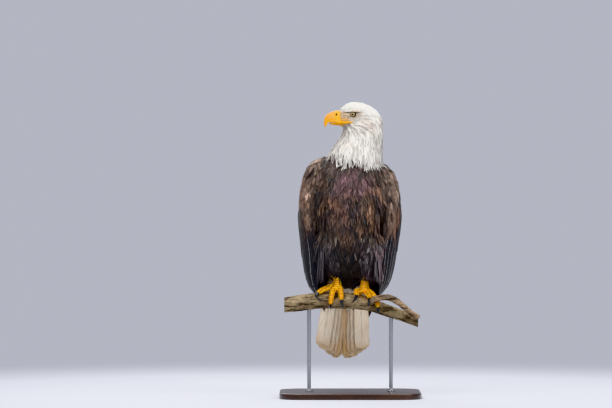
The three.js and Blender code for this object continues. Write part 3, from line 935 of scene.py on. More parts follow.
def vertex_map(obj: Object, name: str, places: Array) -> None:
    """Stores a UV map in which each vertex has one place.

    Args:
        obj: the object.
        name: the map's name.
        places: a place on the map for each vertex.
    """
    layer = obj.data.uv_layers.new(name=name)
    corners = read(obj.data.loops, "vertex_index", 1)
    layer.data.foreach_set("uv", places[corners].astype(np.float32).ravel())


# ------------------------------------------------------------------------------------------------- forms of the bird


class Side(Enum):
    """A side of the bird, with the sign of its X."""

    LEFT = 1
    RIGHT = -1

    @property
    def label(self) -> str:
        """The side's name in the names of nodes."""
        return self.name.lower()


class Region(IntEnum):
    """The kinds of ground that feathers grow on."""

    HEAD = 0
    NECK = 1
    TRUNK = 2
    THIGH = 3
    COVERTS = 4
    FLIGHT = 5
    FOOT = 6
    TAIL = 7


def lean(z: Array) -> Array:
    """How far the bird's axis stands off X = 0 at a height over the perch, in millimetres."""
    return -5 + 0.017 * z


@dataclass(frozen=True)
class HeadForm:
    """Where the head is: its own frame has +X to the bill's tip, +Y to the bird's left and +Z up."""

    place: tuple[float, float, float] = (7, -6, 562)
    turn: float = 188.0

    @property
    def axes(self) -> Array:
        """The head's three axes as rows.

        Returns:
            The head's forward, left and upward ways.
        """
        angle = math.radians(self.turn)
        c, s = math.cos(angle), math.sin(angle)
        return np.array([[c, s, 0], [-s, c, 0], [0, 0, 1]])

    @property
    def origin(self) -> Array:
        """The head's origin in metres."""
        return (np.array(self.place) + [0, 0, PERCH_TOP]) * MM

    def inside(self, points: Array) -> Array:
        """World points in metres as the head's own millimetres."""
        return (points - self.origin) @ self.axes.T / MM

    def outside(self, points: Array) -> Array:
        """The head's own millimetres as world points in metres."""
        return np.asarray(points, float) * MM @ self.axes + self.origin


@dataclass(frozen=True)
class EyeForm:
    """Where an eyeball sits in the head's own millimetres, and the half sizes of the bare rim round it."""

    x: float = 2.5
    y: float = 27.0
    z: float = 0.0
    radius: float = 10.0
    rim: tuple[float, float] = (9.4, 7.6)

    def off_rim(self, x: Array, z: Array) -> Array:
        """How far places are from the eye's middle, where 1 is the bare rim."""
        return np.hypot(x / self.rim[0], z / self.rim[1])


@dataclass(frozen=True)
class WingForm:
    """The outer face of a folded wing, as an oval about the bird at each height."""

    side: Side
    z: tuple = (429, 419, 398, 360, 315, 262, 207, 155, 110, 66, 28, 4, -24)
    half_width: tuple = (92, 117, 135, 149, 156, 158.5, 155, 149, 143.5, 136, 124, 106, 80)
    centre_y: tuple = (4, 4, 5, 8, 12, 16, 22, 31, 41, 53, 66, 76, 90)
    front_depth: tuple = (26, 50, 70, 89, 97, 98, 93, 86, 77, 66, 50, 34, 20)
    back_depth: tuple = (32, 54, 74, 91, 100, 107, 110, 108, 103, 95, 84, 74, 60)
    front: tuple = (-8, -28, -41, -46, -47, -46, -45, -44, -42, -38, -31, -21, -6)
    back: tuple = (24, 44, 57, 67, 75, 82, 85, 86, 86, 86, 85, 82, 72)

    @property
    def shrug(self) -> float:
        """The share of its heights that this wing keeps, as the left shoulder is held lower."""
        return 0.955 if self.side is Side.LEFT else 1.0

    def level(self, height: Array) -> Array:
        """The share down the wing at which it has a height over the perch.

        Args:
            height: heights over the perch, in millimetres.

        Returns:
            A share from 0 to 1 for each height.
        """
        shares = np.linspace(0, 1, 400)
        heights = series(self.z, shares) * self.shrug
        return np.interp(-np.asarray(height, float), -heights, shares)

    def at(self, level: Array, share: Array) -> tuple[Array, Array]:
        """A place on the outer face.

        Args:
            level: how far down the wing, from 0 to 1.
            share: how far from its front edge at 0 to its back edge at 1.

        Returns:
            The place and the way out from it, both in world axes and metres.
        """
        level, share = np.broadcast_arrays(np.asarray(level, float), np.asarray(share, float))
        front, back = series(self.front, level), series(self.back, level)
        angle = np.radians(front + (back - front) * share)
        width = series(self.half_width, level)
        deep = np.where(angle < 0, series(self.front_depth, level), series(self.back_depth, level))
        z = series(self.z, level) * self.shrug
        x = width * np.cos(angle) * self.side.value + lean(z)
        y = series(self.centre_y, level) + deep * np.sin(angle)
        out = np.stack([np.cos(angle) / width * self.side.value, np.sin(angle) / deep, np.zeros_like(x)], -1)
        return np.stack([x, y, z + PERCH_TOP], -1) * MM, unit(out)


HEAD = HeadForm()
EYE = EyeForm()
WINGS = {side: WingForm(side) for side in Side}


# ------------------------------------------------------------------------------------------------------------ the skin


HACKLE_EDGE = {  # x over the front, and the height over the perch where the white feathers end
    "x": (-75, -58, -41, -24, -6, 4, 16, 28, 45, 60, 78, 96),
    "z": (408, 397, 384, 390, 399, 416, 416, 408, 401, 399, 406, 410),
}
NAPE_EDGE = 402.0  # the height over the perch at which they end behind, in millimetres
THIGH_HEMS = (66.0, 51.0)  # heights over the perch at which the right and the left thigh's feathers end


def hackle_edge(points: Array) -> Array:
    """The height over the perch, in millimetres, where the white feathers end round the neck.

    Args:
        points: places on the model, in metres.

    Returns:
        A height for each place.
    """
    x, y = points[..., 0] / MM, points[..., 1] / MM
    front = np.interp(x, HACKLE_EDGE["x"], HACKLE_EDGE["z"])
    return front + (NAPE_EDGE - front) * smoothstep(-10, 40, y)


def over_perch(points: Array) -> Array:
    """Heights over the perch's top, in millimetres."""
    return points[..., 2] / MM - PERCH_TOP


def thigh_hem(points: Array) -> Array:
    """The height over the perch, in millimetres, where the shanks come bare out of the thighs' feathers."""
    return np.where(points[..., 0] < 0, *THIGH_HEMS)


def palette(*colours: tuple[float, float, float]) -> Array:
    """Colours given from 0 to 255 as rows of linear red, green and blue."""
    return np.array([srgb(*c)[:3] for c in colours])


def shades(*colours: tuple[float, float, float]) -> Array:
    """A dataclass field that holds a palette."""
    return field(default_factory=lambda: palette(*colours))


@dataclass
class Markings:
    """The bird's markings: each place's tint, and the tint of a feather's rim there, with some painted light and
    shade.
    """

    # White, a grey that also paints the shade under the chin, and buff.
    white: Array = shades((240, 237, 230), (166, 160, 152), (228, 200, 172))
    # Painted shade: the cheek, and the feathers round the sunken eye.
    face: Array = shades((188, 170, 154), (172, 144, 112))  # the cheek, and the feathers round the eye
    breast: Array = shades((70, 59, 52), (104, 76, 82), (148, 110, 84), (36, 38, 38), (186, 172, 150))
    thigh: Array = shades((64, 59, 59), (120, 115, 116), (122, 94, 96))
    wing: Array = shades((88, 72, 62), (158, 134, 116), (152, 106, 78), (44, 38, 38))
    flight: Array = shades((15, 15, 19), (12, 16, 26), (32, 28, 30))
    rims: Array = shades((160, 128, 98), (140, 126, 120), (206, 184, 154))
    white_rim: Array = shades((244, 242, 235))
    thigh_rim: Array = shades((112, 108, 114))
    flight_rim: Array = shades((198, 194, 192))
    tail_rim: Array = shades((206, 186, 156))
    foot: Array = shades((232, 148, 14), (255, 200, 40))
    # A dark that paints the shade in the creases between the plates of the feet.
    scute_edge: Array = shades((84, 34, 4))
    # The lores, a grey-brown that also paints the shadow under the brow, and the lids' dark, which also paints the
    # shadow line over the eye.
    lores: Array = shades((196, 168, 134), (146, 122, 96), (54, 40, 28))
    bristles: Array = shades((208, 190, 164), (210, 158, 70), (72, 58, 46))
    gape: Array = shades((236, 172, 52))
    # The cere's front and back, and a dark that paints the shade inside the nostrils' hollows.
    cere: Array = shades((240, 178, 0), (222, 166, 84), (30, 18, 10))  # its front, its back, a nostril
    tail: Array = shades((240, 227, 204), (210, 168, 114))
    warm_patches: tuple = ((-45, 278, 22, 42), (58, 292, 20, 44), (-8, 190, 22, 30))  # x, height, half sizes
    dark_patch: tuple[float, float] = (12, 292)

    def mixed(self, colours: Array, shares: Sequence[Array]) -> Array:
        """The first colour, with each further one laid over it by its share.

        Args:
            colours: the first colour, and those that are laid over it.
            shares: how much of each further colour is laid, for each place.

        Returns:
            A colour for each place.
        """
        out = np.broadcast_to(colours[0], (*shares[0].shape, 3))
        for colour, share in zip(colours[1:], shares):
            out = blend(out, colour, np.clip(share, 0, 1))
        return out

    def white_tint(self, points: Array, chance: Array) -> Array:
        """White head and neck feathers, a few of them grey or buff, under painted light and shade.

        Args:
            points: places on the model, in metres.
            chance: a random number for each of them.

        Returns:
            A colour for each place.
        """
        # Painted light: the crown, lit from above, is kept whiter than the rest.
        lit_crown = smoothstep(235, 262, over_perch(points) - 330)
        grey = smoothstep(-0.1, 0.6, clouds(points, 0.018, 1)) * 0.4 + smoothstep(0.3, 1, chance) * 0.7 + 0.3
        buff = smoothstep(0.05, 0.6, clouds(points, 0.035, 2)) * smoothstep(0.3, 0.9, chance) * 0.6
        near = HEAD.inside(points)
        x, z = near[..., 0] - EYE.x, near[..., 2] - EYE.z
        # Painted shadow: a grey-brown line under the brow ridge, which overhangs the eye and the lores.
        crease_shade = np.exp(-(((z - 5.5 + 0.06 * x) / 2.2) ** 2))
        crease_shade = crease_shade * smoothstep(34, 22, x) * smoothstep(-27, -12, x)
        # Painted shade: greyer feathers under the chin, where the head shades the throat.
        throat_shade = smoothstep(0.03, -0.05, points[..., 0]) * smoothstep(545, 510, over_perch(points))
        throat_shade = throat_shade * smoothstep(430, 480, over_perch(points))
        grey = np.clip(grey + 0.35 * throat_shade - 0.1, 0, 1)
        plain = self.mixed(self.white, [grey * (1 - 0.8 * lit_crown), buff * (1 - 0.5 * lit_crown)])
        # Painted shade: the cheek below and behind the eye, and the feathers round the sunken eye, are darkened.
        cheek_shade = np.exp(-(((x + 26) / 30) ** 2) - ((z + 24) / 20) ** 2) * (0.4 + 0.45 * chance)
        plain = blend(plain, self.face[0], cheek_shade)
        eye_socket_shade = smoothstep(2.5, 1.1, EYE.off_rim(x, z)) * (np.abs(near[..., 1]) > 12) * 0.6
        plain = blend(plain, self.face[1], eye_socket_shade)
        return blend(plain, self.lores[1], crease_shade * (np.abs(near[..., 1]) > 12) * 0.75)

    def breast_tint(self, points: Array, chance: Array) -> Array:
        """Purple-brown over the upper breast, warm patches on the flanks, and nearly black below.

        Args:
            points: places on the model, in metres.
            chance: a random number for each of them.

        Returns:
            A colour for each place.
        """
        z = over_perch(points)
        upper = smoothstep(250, 350, z) * smoothstep(0.085, 0.02, np.abs(points[..., 0] - 0.004))
        purple = smoothstep(-0.35, 0.35, clouds(points, 0.045, 3)) * (0.25 + 0.6 * upper)
        flank = smoothstep(130, 200, z) * smoothstep(390, 330, z)
        warm = smoothstep(0.0, 0.45, clouds(points, 0.038, 4)) * flank * (0.15 + 0.6 * chance)
        for x, high, wide, tall in self.warm_patches:
            near = np.hypot((points[..., 0] / MM - x) / wide, (z - high) / tall)
            warm = np.maximum(warm, smoothstep(1.3, 0.4, near) * (0.1 + 0.75 * chance))
        black = smoothstep(-0.12, 0.35, clouds(points, 0.024, 5)) * 0.9
        black = black * (1 - 0.5 * upper) * (1 - 0.3 * warm)
        near = np.hypot((points[..., 0] / MM - self.dark_patch[0]) / 20, (z - self.dark_patch[1]) / 60)
        black = np.maximum(black, smoothstep(1.2, 0.5, near) * smoothstep(0.9, 0.5, chance) * 0.8)
        low = smoothstep(300, 140, z) * (1 - 0.3 * smoothstep(0.055, 0.09, np.abs(points[..., 0])))
        # Painted shade: the breast darkened towards its sides, where the folded wings overlap it.
        wing_gap_shade = smoothstep(0.087, 0.101, np.abs(points[..., 0] - lean(z) * MM)) * smoothstep(70, 130, z) * 0.9
        wing_gap_shade = wing_gap_shade * smoothstep(385, 350, z)
        fleck = smoothstep(0.975, 0.99, chance) * smoothstep(120, 150, z) * smoothstep(260, 210, z) * 0.5
        shares = [purple, warm, np.maximum(np.maximum(black, low * 0.94), wing_gap_shade), fleck]
        return self.mixed(self.breast, shares)

    def thigh_tint(self, points: Array, chance: Array) -> Array:
        """Dark thighs streaked with a soft grey, with painted light on the left thigh.

        Args:
            points: places on the model, in metres.
            chance: a random number for each of them.

        Returns:
            A colour for each place.
        """
        grey = smoothstep(0.0, 0.6, clouds(points, 0.02, 13)) * smoothstep(0.2, 0.9, chance) * 0.8
        purple = smoothstep(0.0, 0.5, clouds(points, 0.035, 14)) * 0.5 * smoothstep(0, 0.06, points[..., 0])
        # Painted light: the left thigh made brighter, as on the side where more light falls.
        lit = 1 + 0.35 * smoothstep(0.02, 0.06, points[..., 0])
        return self.mixed(self.thigh, [grey, purple]) * lit[..., None]

    def wing_tint(self, points: Array, chance: Array) -> Array:
        """Mottled grey-brown over the shoulder, redder at the outer side and darker further down.

        Args:
            points: places on the model, in metres.
            chance: a random number for each of them.

        Returns:
            A colour for each place.
        """
        z = over_perch(points)
        pale = smoothstep(-0.1, 0.5, clouds(points, 0.03, 6)) * (0.35 + 0.65 * smoothstep(220, 360, z))
        outer = smoothstep(0.120, 0.150, np.abs(points[..., 0]))
        red = outer * smoothstep(-0.2, 0.5, clouds(points, 0.05, 7)) * 0.7
        dark = smoothstep(0.0, 0.5, clouds(points, 0.025, 8)) * 0.8
        low = np.where(points[..., 0] < 0, 34, 0) * smoothstep(0.105, 0.125, np.abs(points[..., 0]))
        dark = dark + smoothstep(236, 176, z - low) * 0.95
        # Painted shade: the wing darkened along its inner front edge, beside the breast.
        wing_gap_shade = smoothstep(0.121, 0.109, np.abs(points[..., 0] - lean(z) * MM))
        wing_gap_shade = wing_gap_shade * smoothstep(0.0, -0.03, points[..., 1])
        dark = np.maximum(dark, wing_gap_shade * smoothstep(370, 320, z) * 0.85)
        return self.mixed(self.wing, [pale * (0.5 + 0.5 * chance), red, dark])

    def flight_tint(self, points: Array, chance: Array) -> Array:
        """Nearly black flight feathers with a touch of navy."""
        navy = smoothstep(-0.2, 0.4, clouds(points, 0.05, 9))
        return self.mixed(self.flight, [navy, smoothstep(0.7, 1.0, chance) * 0.5])

    def rim_tint(self, points: Array, chance: Array) -> Array:
        """The paler rims of dark feathers."""
        grey = smoothstep(-0.2, 0.4, clouds(points, 0.04, 10))
        return self.mixed(self.rims, [grey, smoothstep(0.86, 1.0, chance)])


MARKINGS = Markings()


@dataclass
class Skin:
    """One skin over the head, neck, trunk, wings, legs and toes, lying under the coat by its depth."""

    voxel: float = 0.0035
    swell: float = 0.0011
    deepest: float = 0.3  # the share of a part's thickness that the skin may lie under the solid
    depth: dict = field(default_factory=lambda: {
        Region.HEAD: 3.3, Region.NECK: 4.5, Region.TRUNK: 5.0, Region.THIGH: 4.5, Region.COVERTS: 4.0,
        Region.FLIGHT: 2.0, Region.FOOT: 0.0, Region.TAIL: 3.0})
    rounds: dict = field(default_factory=lambda: {
        Region.HEAD: 0.4, Region.NECK: 0.5, Region.TRUNK: 0.6, Region.THIGH: 0.5, Region.COVERTS: 0.5,
        Region.FLIGHT: 0.25, Region.FOOT: 0.28, Region.TAIL: 0.4})
    toes: tuple[str, ...] = ("outer", "middle", "inner", "hind")

    def nodes(self) -> dict[str, Region]:
        """The flesh nodes that the skin replaces, and the kind of ground that each is.

        Returns:
            A region for each node's name.
        """
        found = {"head": Region.HEAD, "neck": Region.NECK, "trunk": Region.TRUNK}
        for side in Side:
            found[f"thigh_{side.label}"] = Region.THIGH
            found[f"shank_{side.label}"] = Region.FOOT
            found[f"wing_coverts_{side.label}"] = Region.COVERTS
            found[f"wing_secondaries_{side.label}"] = Region.FLIGHT
            for toe in self.toes:
                found[f"toe_{toe}_{side.label}"] = Region.FOOT
        return found

    def tail_root(self) -> tuple[Array, Array]:
        """The flesh at the root of the tail, under its coverts.

        Returns:
            Its points in metres, and its triangles.
        """
        share = np.linspace(0, 1, 12)
        path = rounded_path([[0, -4, 30], [0, -8, -25], [0, -7, -75], [0, -4, -120]], share)
        width = series([34, 54, 60, 54, 34], share)
        depth = series([12, 15, 13, 9, 4], share)
        rings = rod_rings(path, np.array([0, 1.0, 0]), width, depth, 24)
        points, faces = tube(TAIL.outside(rings))
        quads = faces[faces[:, 3] >= 0]
        split = np.concatenate([quads[:, [0, 1, 2]], quads[:, [0, 2, 3]], faces[faces[:, 3] < 0][:, :3]])
        return points, split

    def build(self) -> tuple[Object, Array]:
        """Makes the skin.

        Returns:
            The skin's object, and the region of each of its vertices.
        """
        parts = [(node_mesh(name), region) for name, region in self.nodes().items()]
        parts.append((self.tail_root(), Region.TAIL))
        solids = [solid for solid, _ in parts]
        swollen = [(at + point_normals(at, faces) * self.swell, faces) for at, faces in solids]
        points, triangles = merged(swollen)
        regions = np.repeat([region.value for _, region in parts], [len(faces) for _, faces in solids])
        tree = BVHTree.FromPolygons(points.tolist(), triangles.tolist())
        skin = mesh_object("skin", points, triangles)
        modified(skin, "REMESH", mode="VOXEL", voxel_size=self.voxel, use_smooth_shade=True)
        skin = self.outermost(skin)
        kind = self.kinds(skin, tree, regions)
        self.even(skin, kind, 14)
        for keep, rounds in ((self.face, 3), (self.eye_rim, 3), (self.feet, 3)):
            self.refine(skin, keep(skin, kind))
            kind = self.kinds(skin, tree, regions)
            self.even(skin, kind, rounds)
        kind = self.kinds(skin, tree, regions)
        self.sink(skin, kind)
        self.sculpt(skin, kind)
        unwrapped(skin, 72.0, 0.004)
        return skin, kind

    def kinds(self, skin: Object, tree: BVHTree, regions: Array) -> Array:
        """The region of each vertex, from the solid that it came from."""
        spots = [tree.find_nearest(p)[2] for p in vertices_of(skin).tolist()]
        return regions[np.array(spots)]

    def by_region(self, table: dict[Region, float], kind: Array) -> Array:
        """A table's number for each vertex's region."""
        lookup = np.array([table[region] for region in Region], float)
        return lookup[kind]

    def even(self, skin: Object, kind: Array, rounds: int) -> None:
        """Rounds off what is left of the solids' facets."""
        weight = self.by_region(self.rounds, kind)
        move_vertices(skin, relax(vertices_of(skin), edges_of(skin), rounds, weight, 0.6))

    def outermost(self, skin: Object) -> Object:
        """The largest connected part, without the walls of hollows inside the body.

        Args:
            skin: the skin's object.

        Returns:
            A new object with that part alone.
        """
        edges = edges_of(skin)
        owner = np.arange(len(skin.data.vertices))
        for _ in range(4000):
            low = np.minimum(owner[edges[:, 0]], owner[edges[:, 1]])
            fresh = owner.copy()
            np.minimum.at(fresh, edges[:, 0], low)
            np.minimum.at(fresh, edges[:, 1], low)
            fresh = fresh[fresh]
            if np.array_equal(fresh, owner):
                break
            owner = fresh
        main = np.bincount(owner).argmax()
        kept = owner == main
        faces = read(skin.data.loops, "vertex_index", 1).reshape(-1, 4)
        faces = faces[kept[faces[:, 0]]]
        order = np.cumsum(kept) - 1
        points = vertices_of(skin)[kept]
        bpy.data.objects.remove(skin)
        return mesh_object("skin", points, order[faces])

    def face(self, skin: Object, kind: Array) -> Array:
        """The faces about the eyes and the bill's base.

        Args:
            skin: the skin's object.
            kind: the region of each of its vertices.

        Returns:
            Whether each vertex belongs to them.
        """
        near = HEAD.inside(vertices_of(skin))
        chosen = (kind == Region.HEAD) & (near[:, 0] > -20) & (near[:, 2] < 17) & (near[:, 2] > -34)
        return chosen & (np.abs(near[:, 1]) > 8)

    def eye_rim(self, skin: Object, kind: Array) -> Array:
        """The faces close round the eyes.

        Args:
            skin: the skin's object.
            kind: the region of each of its vertices.

        Returns:
            Whether each vertex belongs to them.
        """
        near = HEAD.inside(vertices_of(skin))
        far = np.hypot(near[:, 0] - EYE.x, near[:, 2] - EYE.z)
        return (kind == Region.HEAD) & (far < 17) & (np.abs(near[:, 1]) > 14)

    def feet(self, skin: Object, kind: Array) -> Array:
        """The faces of the shanks and toes."""
        return kind == Region.FOOT

    def refine(self, skin: Object, chosen: Array) -> None:
        """Divides the faces whose corners are all chosen.

        Args:
            skin: the skin's object.
            chosen: whether each vertex is chosen.
        """
        picked = np.array([all(chosen[v] for v in face.vertices) for face in skin.data.polygons])
        pick(skin, "polygons", picked)
        bpy.ops.mesh.subdivide(number_cuts=1)
        bpy.ops.object.mode_set(mode="OBJECT")

    def sink(self, skin: Object, kind: Array) -> None:
        """Draws the skin in under the coat, by less where a part is thin or bare.

        Args:
            skin: the skin's object.
            kind: the region of each of its vertices.
        """
        points, normals = vertices_of(skin), normals_of(skin)
        depth = self.by_region(self.depth, kind) * MM
        near = HEAD.inside(points)
        bare = smoothstep(-22, 12, near[:, 0]) * (kind == Region.HEAD)
        depth *= 1 - 0.75 * bare
        tree = BVHTree.FromPolygons(points.tolist(), triangles_of(skin).tolist())
        thick = np.full(len(points), 0.1)
        for i, (p, n) in enumerate(zip((points - normals * 0.0005).tolist(), (-normals).tolist())):
            hit = tree.ray_cast(p, n, 0.03)
            if hit[0] is not None:
                thick[i] = hit[3]
        depth = np.minimum(depth, thick * self.deepest)
        depth = relax(depth, edges_of(skin), 8, 0.5)
        move_vertices(skin, points - normals * depth[:, None])

    def sculpt(self, skin: Object, kind: Array) -> None:
        """Models the brow, the lids round each eye and the fold behind the gape.

        Args:
            skin: the skin's object.
            kind: the region of each of its vertices.
        """
        points = vertices_of(skin)
        near = HEAD.inside(points)
        x, side, z = near[:, 0] - EYE.x, np.sign(near[:, 1]), near[:, 2] - EYE.z
        y = np.abs(near[:, 1])
        on_side = (kind == Region.HEAD) & (y > 15)
        brow = np.exp(-(((z - 9.5 - 0.02 * x) / 3.0) ** 2)) * smoothstep(-30, -10, x) * smoothstep(34, 16, x)
        y = y + np.where(on_side, 4.6 * brow, 0)
        out = np.hypot(x / 7.7, np.where(z > 0, z / 5.7, z / 6.6))
        reach = np.sqrt(np.maximum(EYE.radius ** 2 - x**2 - z**2, 0))
        ball = EYE.y + reach
        lid = ball + 0.9
        lidded = y + (np.maximum(lid, y) - y) * smoothstep(2.0, 1.15, out)
        inside = ball - 3.2
        opened = np.where(out < 1.0, inside, lidded)
        y = np.where(on_side & (out < 2.0), opened, y)
        fold = np.exp(-(((z + 27 - 0.1 * x) / 2.0) ** 2)) * smoothstep(-26, -8, x) * smoothstep(8, 0, x)
        y = y - np.where(on_side, 1.2 * fold, 0)
        near = near.copy()
        near[:, 1] = np.where(on_side, y * side, near[:, 1])
        near[:, 2] = np.where(on_side, near[:, 2] - 1.6 * brow, near[:, 2])
        move_vertices(skin, np.where(on_side[:, None], HEAD.outside(near), points))

    def paint(self, skin: Object, kind: Array) -> None:
        """Gives each place of the skin the markings of the coat over it, and paints a shadow line under each brow.

        Args:
            skin: the skin's object.
            kind: the region of each of its vertices.
        """
        points = vertices_of(skin)
        half = np.full(len(points), 0.4)
        near = HEAD.inside(points)
        z = over_perch(points)
        tint = MARKINGS.breast_tint(points, half)
        wing = (kind == Region.COVERTS)[:, None]
        tint = np.where(wing, MARKINGS.wing_tint(points, half), tint)
        tint = np.where((kind == Region.FLIGHT)[:, None], MARKINGS.flight_tint(points, half), tint)
        white = (kind == Region.HEAD) | ((kind == Region.NECK) & (z > hackle_edge(points) + 3))
        tint = np.where(white[:, None], MARKINGS.white_tint(points, half * 0), tint)
        pale = kind == Region.TAIL
        tint = np.where(pale[:, None], MARKINGS.tail[0], tint)
        foot = blend(*MARKINGS.foot, smoothstep(-0.3, 0.4, clouds(points, 0.01, 11)))
        bare = (kind == Region.FOOT) | ((kind == Region.THIGH) & (z < thigh_hem(points)))
        tint = np.where(bare[:, None], foot, tint)
        x, y, height = near[:, 0], np.abs(near[:, 1]), near[:, 2]
        bare = smoothstep(10, 17, x) * smoothstep(12, 7, height) * (kind == Region.HEAD)
        blotch = smoothstep(-0.1, 0.5, clouds(points, 0.006, 12)) * 0.4
        lores = MARKINGS.mixed(MARKINGS.lores[:2], [blotch])
        lores = blend(lores, MARKINGS.gape[0], smoothstep(-6, -20, height) * 0.85)
        tint = blend(tint, lores, bare)
        out = EYE.off_rim(x - EYE.x, height - EYE.z)
        rim = smoothstep(1.2, 0.95, out)
        # Painted shadow: a dark line along the skin under the brow, over each eye; the rim round the eye is the lids'
        # own dark skin.
        streak = np.exp(-(((height - 6.0) / 2.0) ** 2)) * smoothstep(30, 20, x) * smoothstep(-24, -14, x)
        dark = np.maximum(rim, streak * 0.8) * (kind == Region.HEAD) * (y > 12)
        tint = blend(tint, MARKINGS.lores[2], np.clip(dark, 0, 1))
        point_colour(skin, "tint", tint)


def rotation(axis: str, degrees: float) -> Array:
    """The matrix of a turn about one axis.

    Args:
        axis: x, y or z.
        degrees: how far it turns.

    Returns:
        A matrix that turns column vectors.
    """
    c, s = math.cos(math.radians(degrees)), math.sin(math.radians(degrees))
    turns = {
        "x": [[1, 0, 0], [0, c, -s], [0, s, c]],
        "y": [[c, 0, s], [0, 1, 0], [-s, 0, c]],
        "z": [[c, -s, 0], [s, c, 0], [0, 0, 1]],
    }
    return np.array(turns[axis])


@dataclass(frozen=True)
class TailForm:
    """The tail's own frame, where it hangs along -Z with its upper side towards +Y, and its sizes."""

    place: tuple[float, float, float] = (-6, 103, 84)
    pitch: float = 10.5
    swing: float = 3.7
    quill: float = 34.0
    length: tuple[float, ...] = (243, 256, 254, 244, 234, 223)
    width: tuple[float, ...] = (54, 54, 53, 52, 50, 48)
    spread: float = 1.05
    step: float = 7.6
    sink: float = 1.4
    droop: float = 2.6

    def outside(self, points: Array) -> Array:
        """Points of the tail's frame, in millimetres, as world points in metres.

        Args:
            points: points of the tail's own frame, in millimetres.

        Returns:
            World points in metres.
        """
        turn = rotation("x", self.pitch) @ rotation("y", self.swing)
        place = np.array(self.place) + [0, 0, PERCH_TOP]
        return (np.asarray(points, float) @ turn.T + place) * MM


TAIL = TailForm()


# ------------------------------------------------------------------------------------------------------------ the coat


@dataclass(frozen=True)
class Vane:
    """The outline of one kind of feather: its width at stations from root to tip, and its points across."""

    stations: tuple[float, ...] = (0.0, 0.16, 0.36, 0.56, 0.75, 0.9, 1.0)
    widths: tuple[float, ...] = (0.35, 0.75, 1.0, 1.0, 0.82, 0.48, 0.08)
    across: tuple[float, ...] = (-1.0, 0.0, 1.0)

    def faces(self) -> Array:
        """One feather's faces: its upper side point by point, then one line of points below.

        Returns:
            Rows of point numbers, where a -1 at the end marks a triangle.
        """
        rows, columns = len(self.stations), len(self.across)
        low = rows * columns
        found = []
        for s in range(rows - 1):
            a, b = s * columns, (s + 1) * columns
            for j in range(columns - 1):
                found.append([a + j, b + j, b + j + 1, a + j + 1])
            found.append([b, a, low + s, low + s + 1])
            found.append([a + columns - 1, b + columns - 1, low + s + 1, low + s])
        end = (rows - 1) * columns
        for j in range(columns - 1):
            found.append([end + j + 1, end + j, low + rows - 1, -1])
            found.append([j, j + 1, low, -1])
        return np.array(found)

    def repeated(self, count: int) -> Array:
        """The faces of several feathers, whose points follow each other.

        Args:
            count: how many feathers there are.

        Returns:
            Rows of point numbers, as one feather's faces have them.
        """
        faces = self.faces()
        each = len(self.stations) * (len(self.across) + 1)
        moved = faces[None] + (np.arange(count) * each)[:, None, None]
        return np.where(faces[None] < 0, -1, moved).reshape(-1, 4)

    def local(self) -> Array:
        """How far across and along the vane each of one feather's points lies.

        Returns:
            Two numbers from 0 to 1 for each point.
        """
        rows, columns = len(self.stations), len(self.across)
        u = np.concatenate([np.tile((np.array(self.across) + 1) / 2, rows), np.full(rows, 0.5)])
        v = np.concatenate([np.repeat(self.stations, columns), self.stations])
        return np.stack([u, v], 1)


SCALE_VANE = Vane(widths=(0.35, 0.78, 1.0, 1.0, 0.86, 0.55, 0.12))
POINTED_VANE = Vane(widths=(0.4, 0.8, 1.0, 0.9, 0.66, 0.36, 0.04))
HACKLE_VANE = Vane(widths=(0.5, 0.85, 1.0, 0.86, 0.6, 0.32, 0.03))


@dataclass
class Sown:
    """Where feathers grow: their roots, the skin's normals and the places on its bake map there."""

    places: Array
    normals: Array
    spots: Array
    chance: Array  # a random number for each feather
    rng: np.random.Generator  # the source of all further random numbers


def at_each(value: float | Field, points: Array) -> Array:
    """A number, or what a function gives for each place, as one number for each place."""
    return value(points) if callable(value) else np.full(len(points), value)


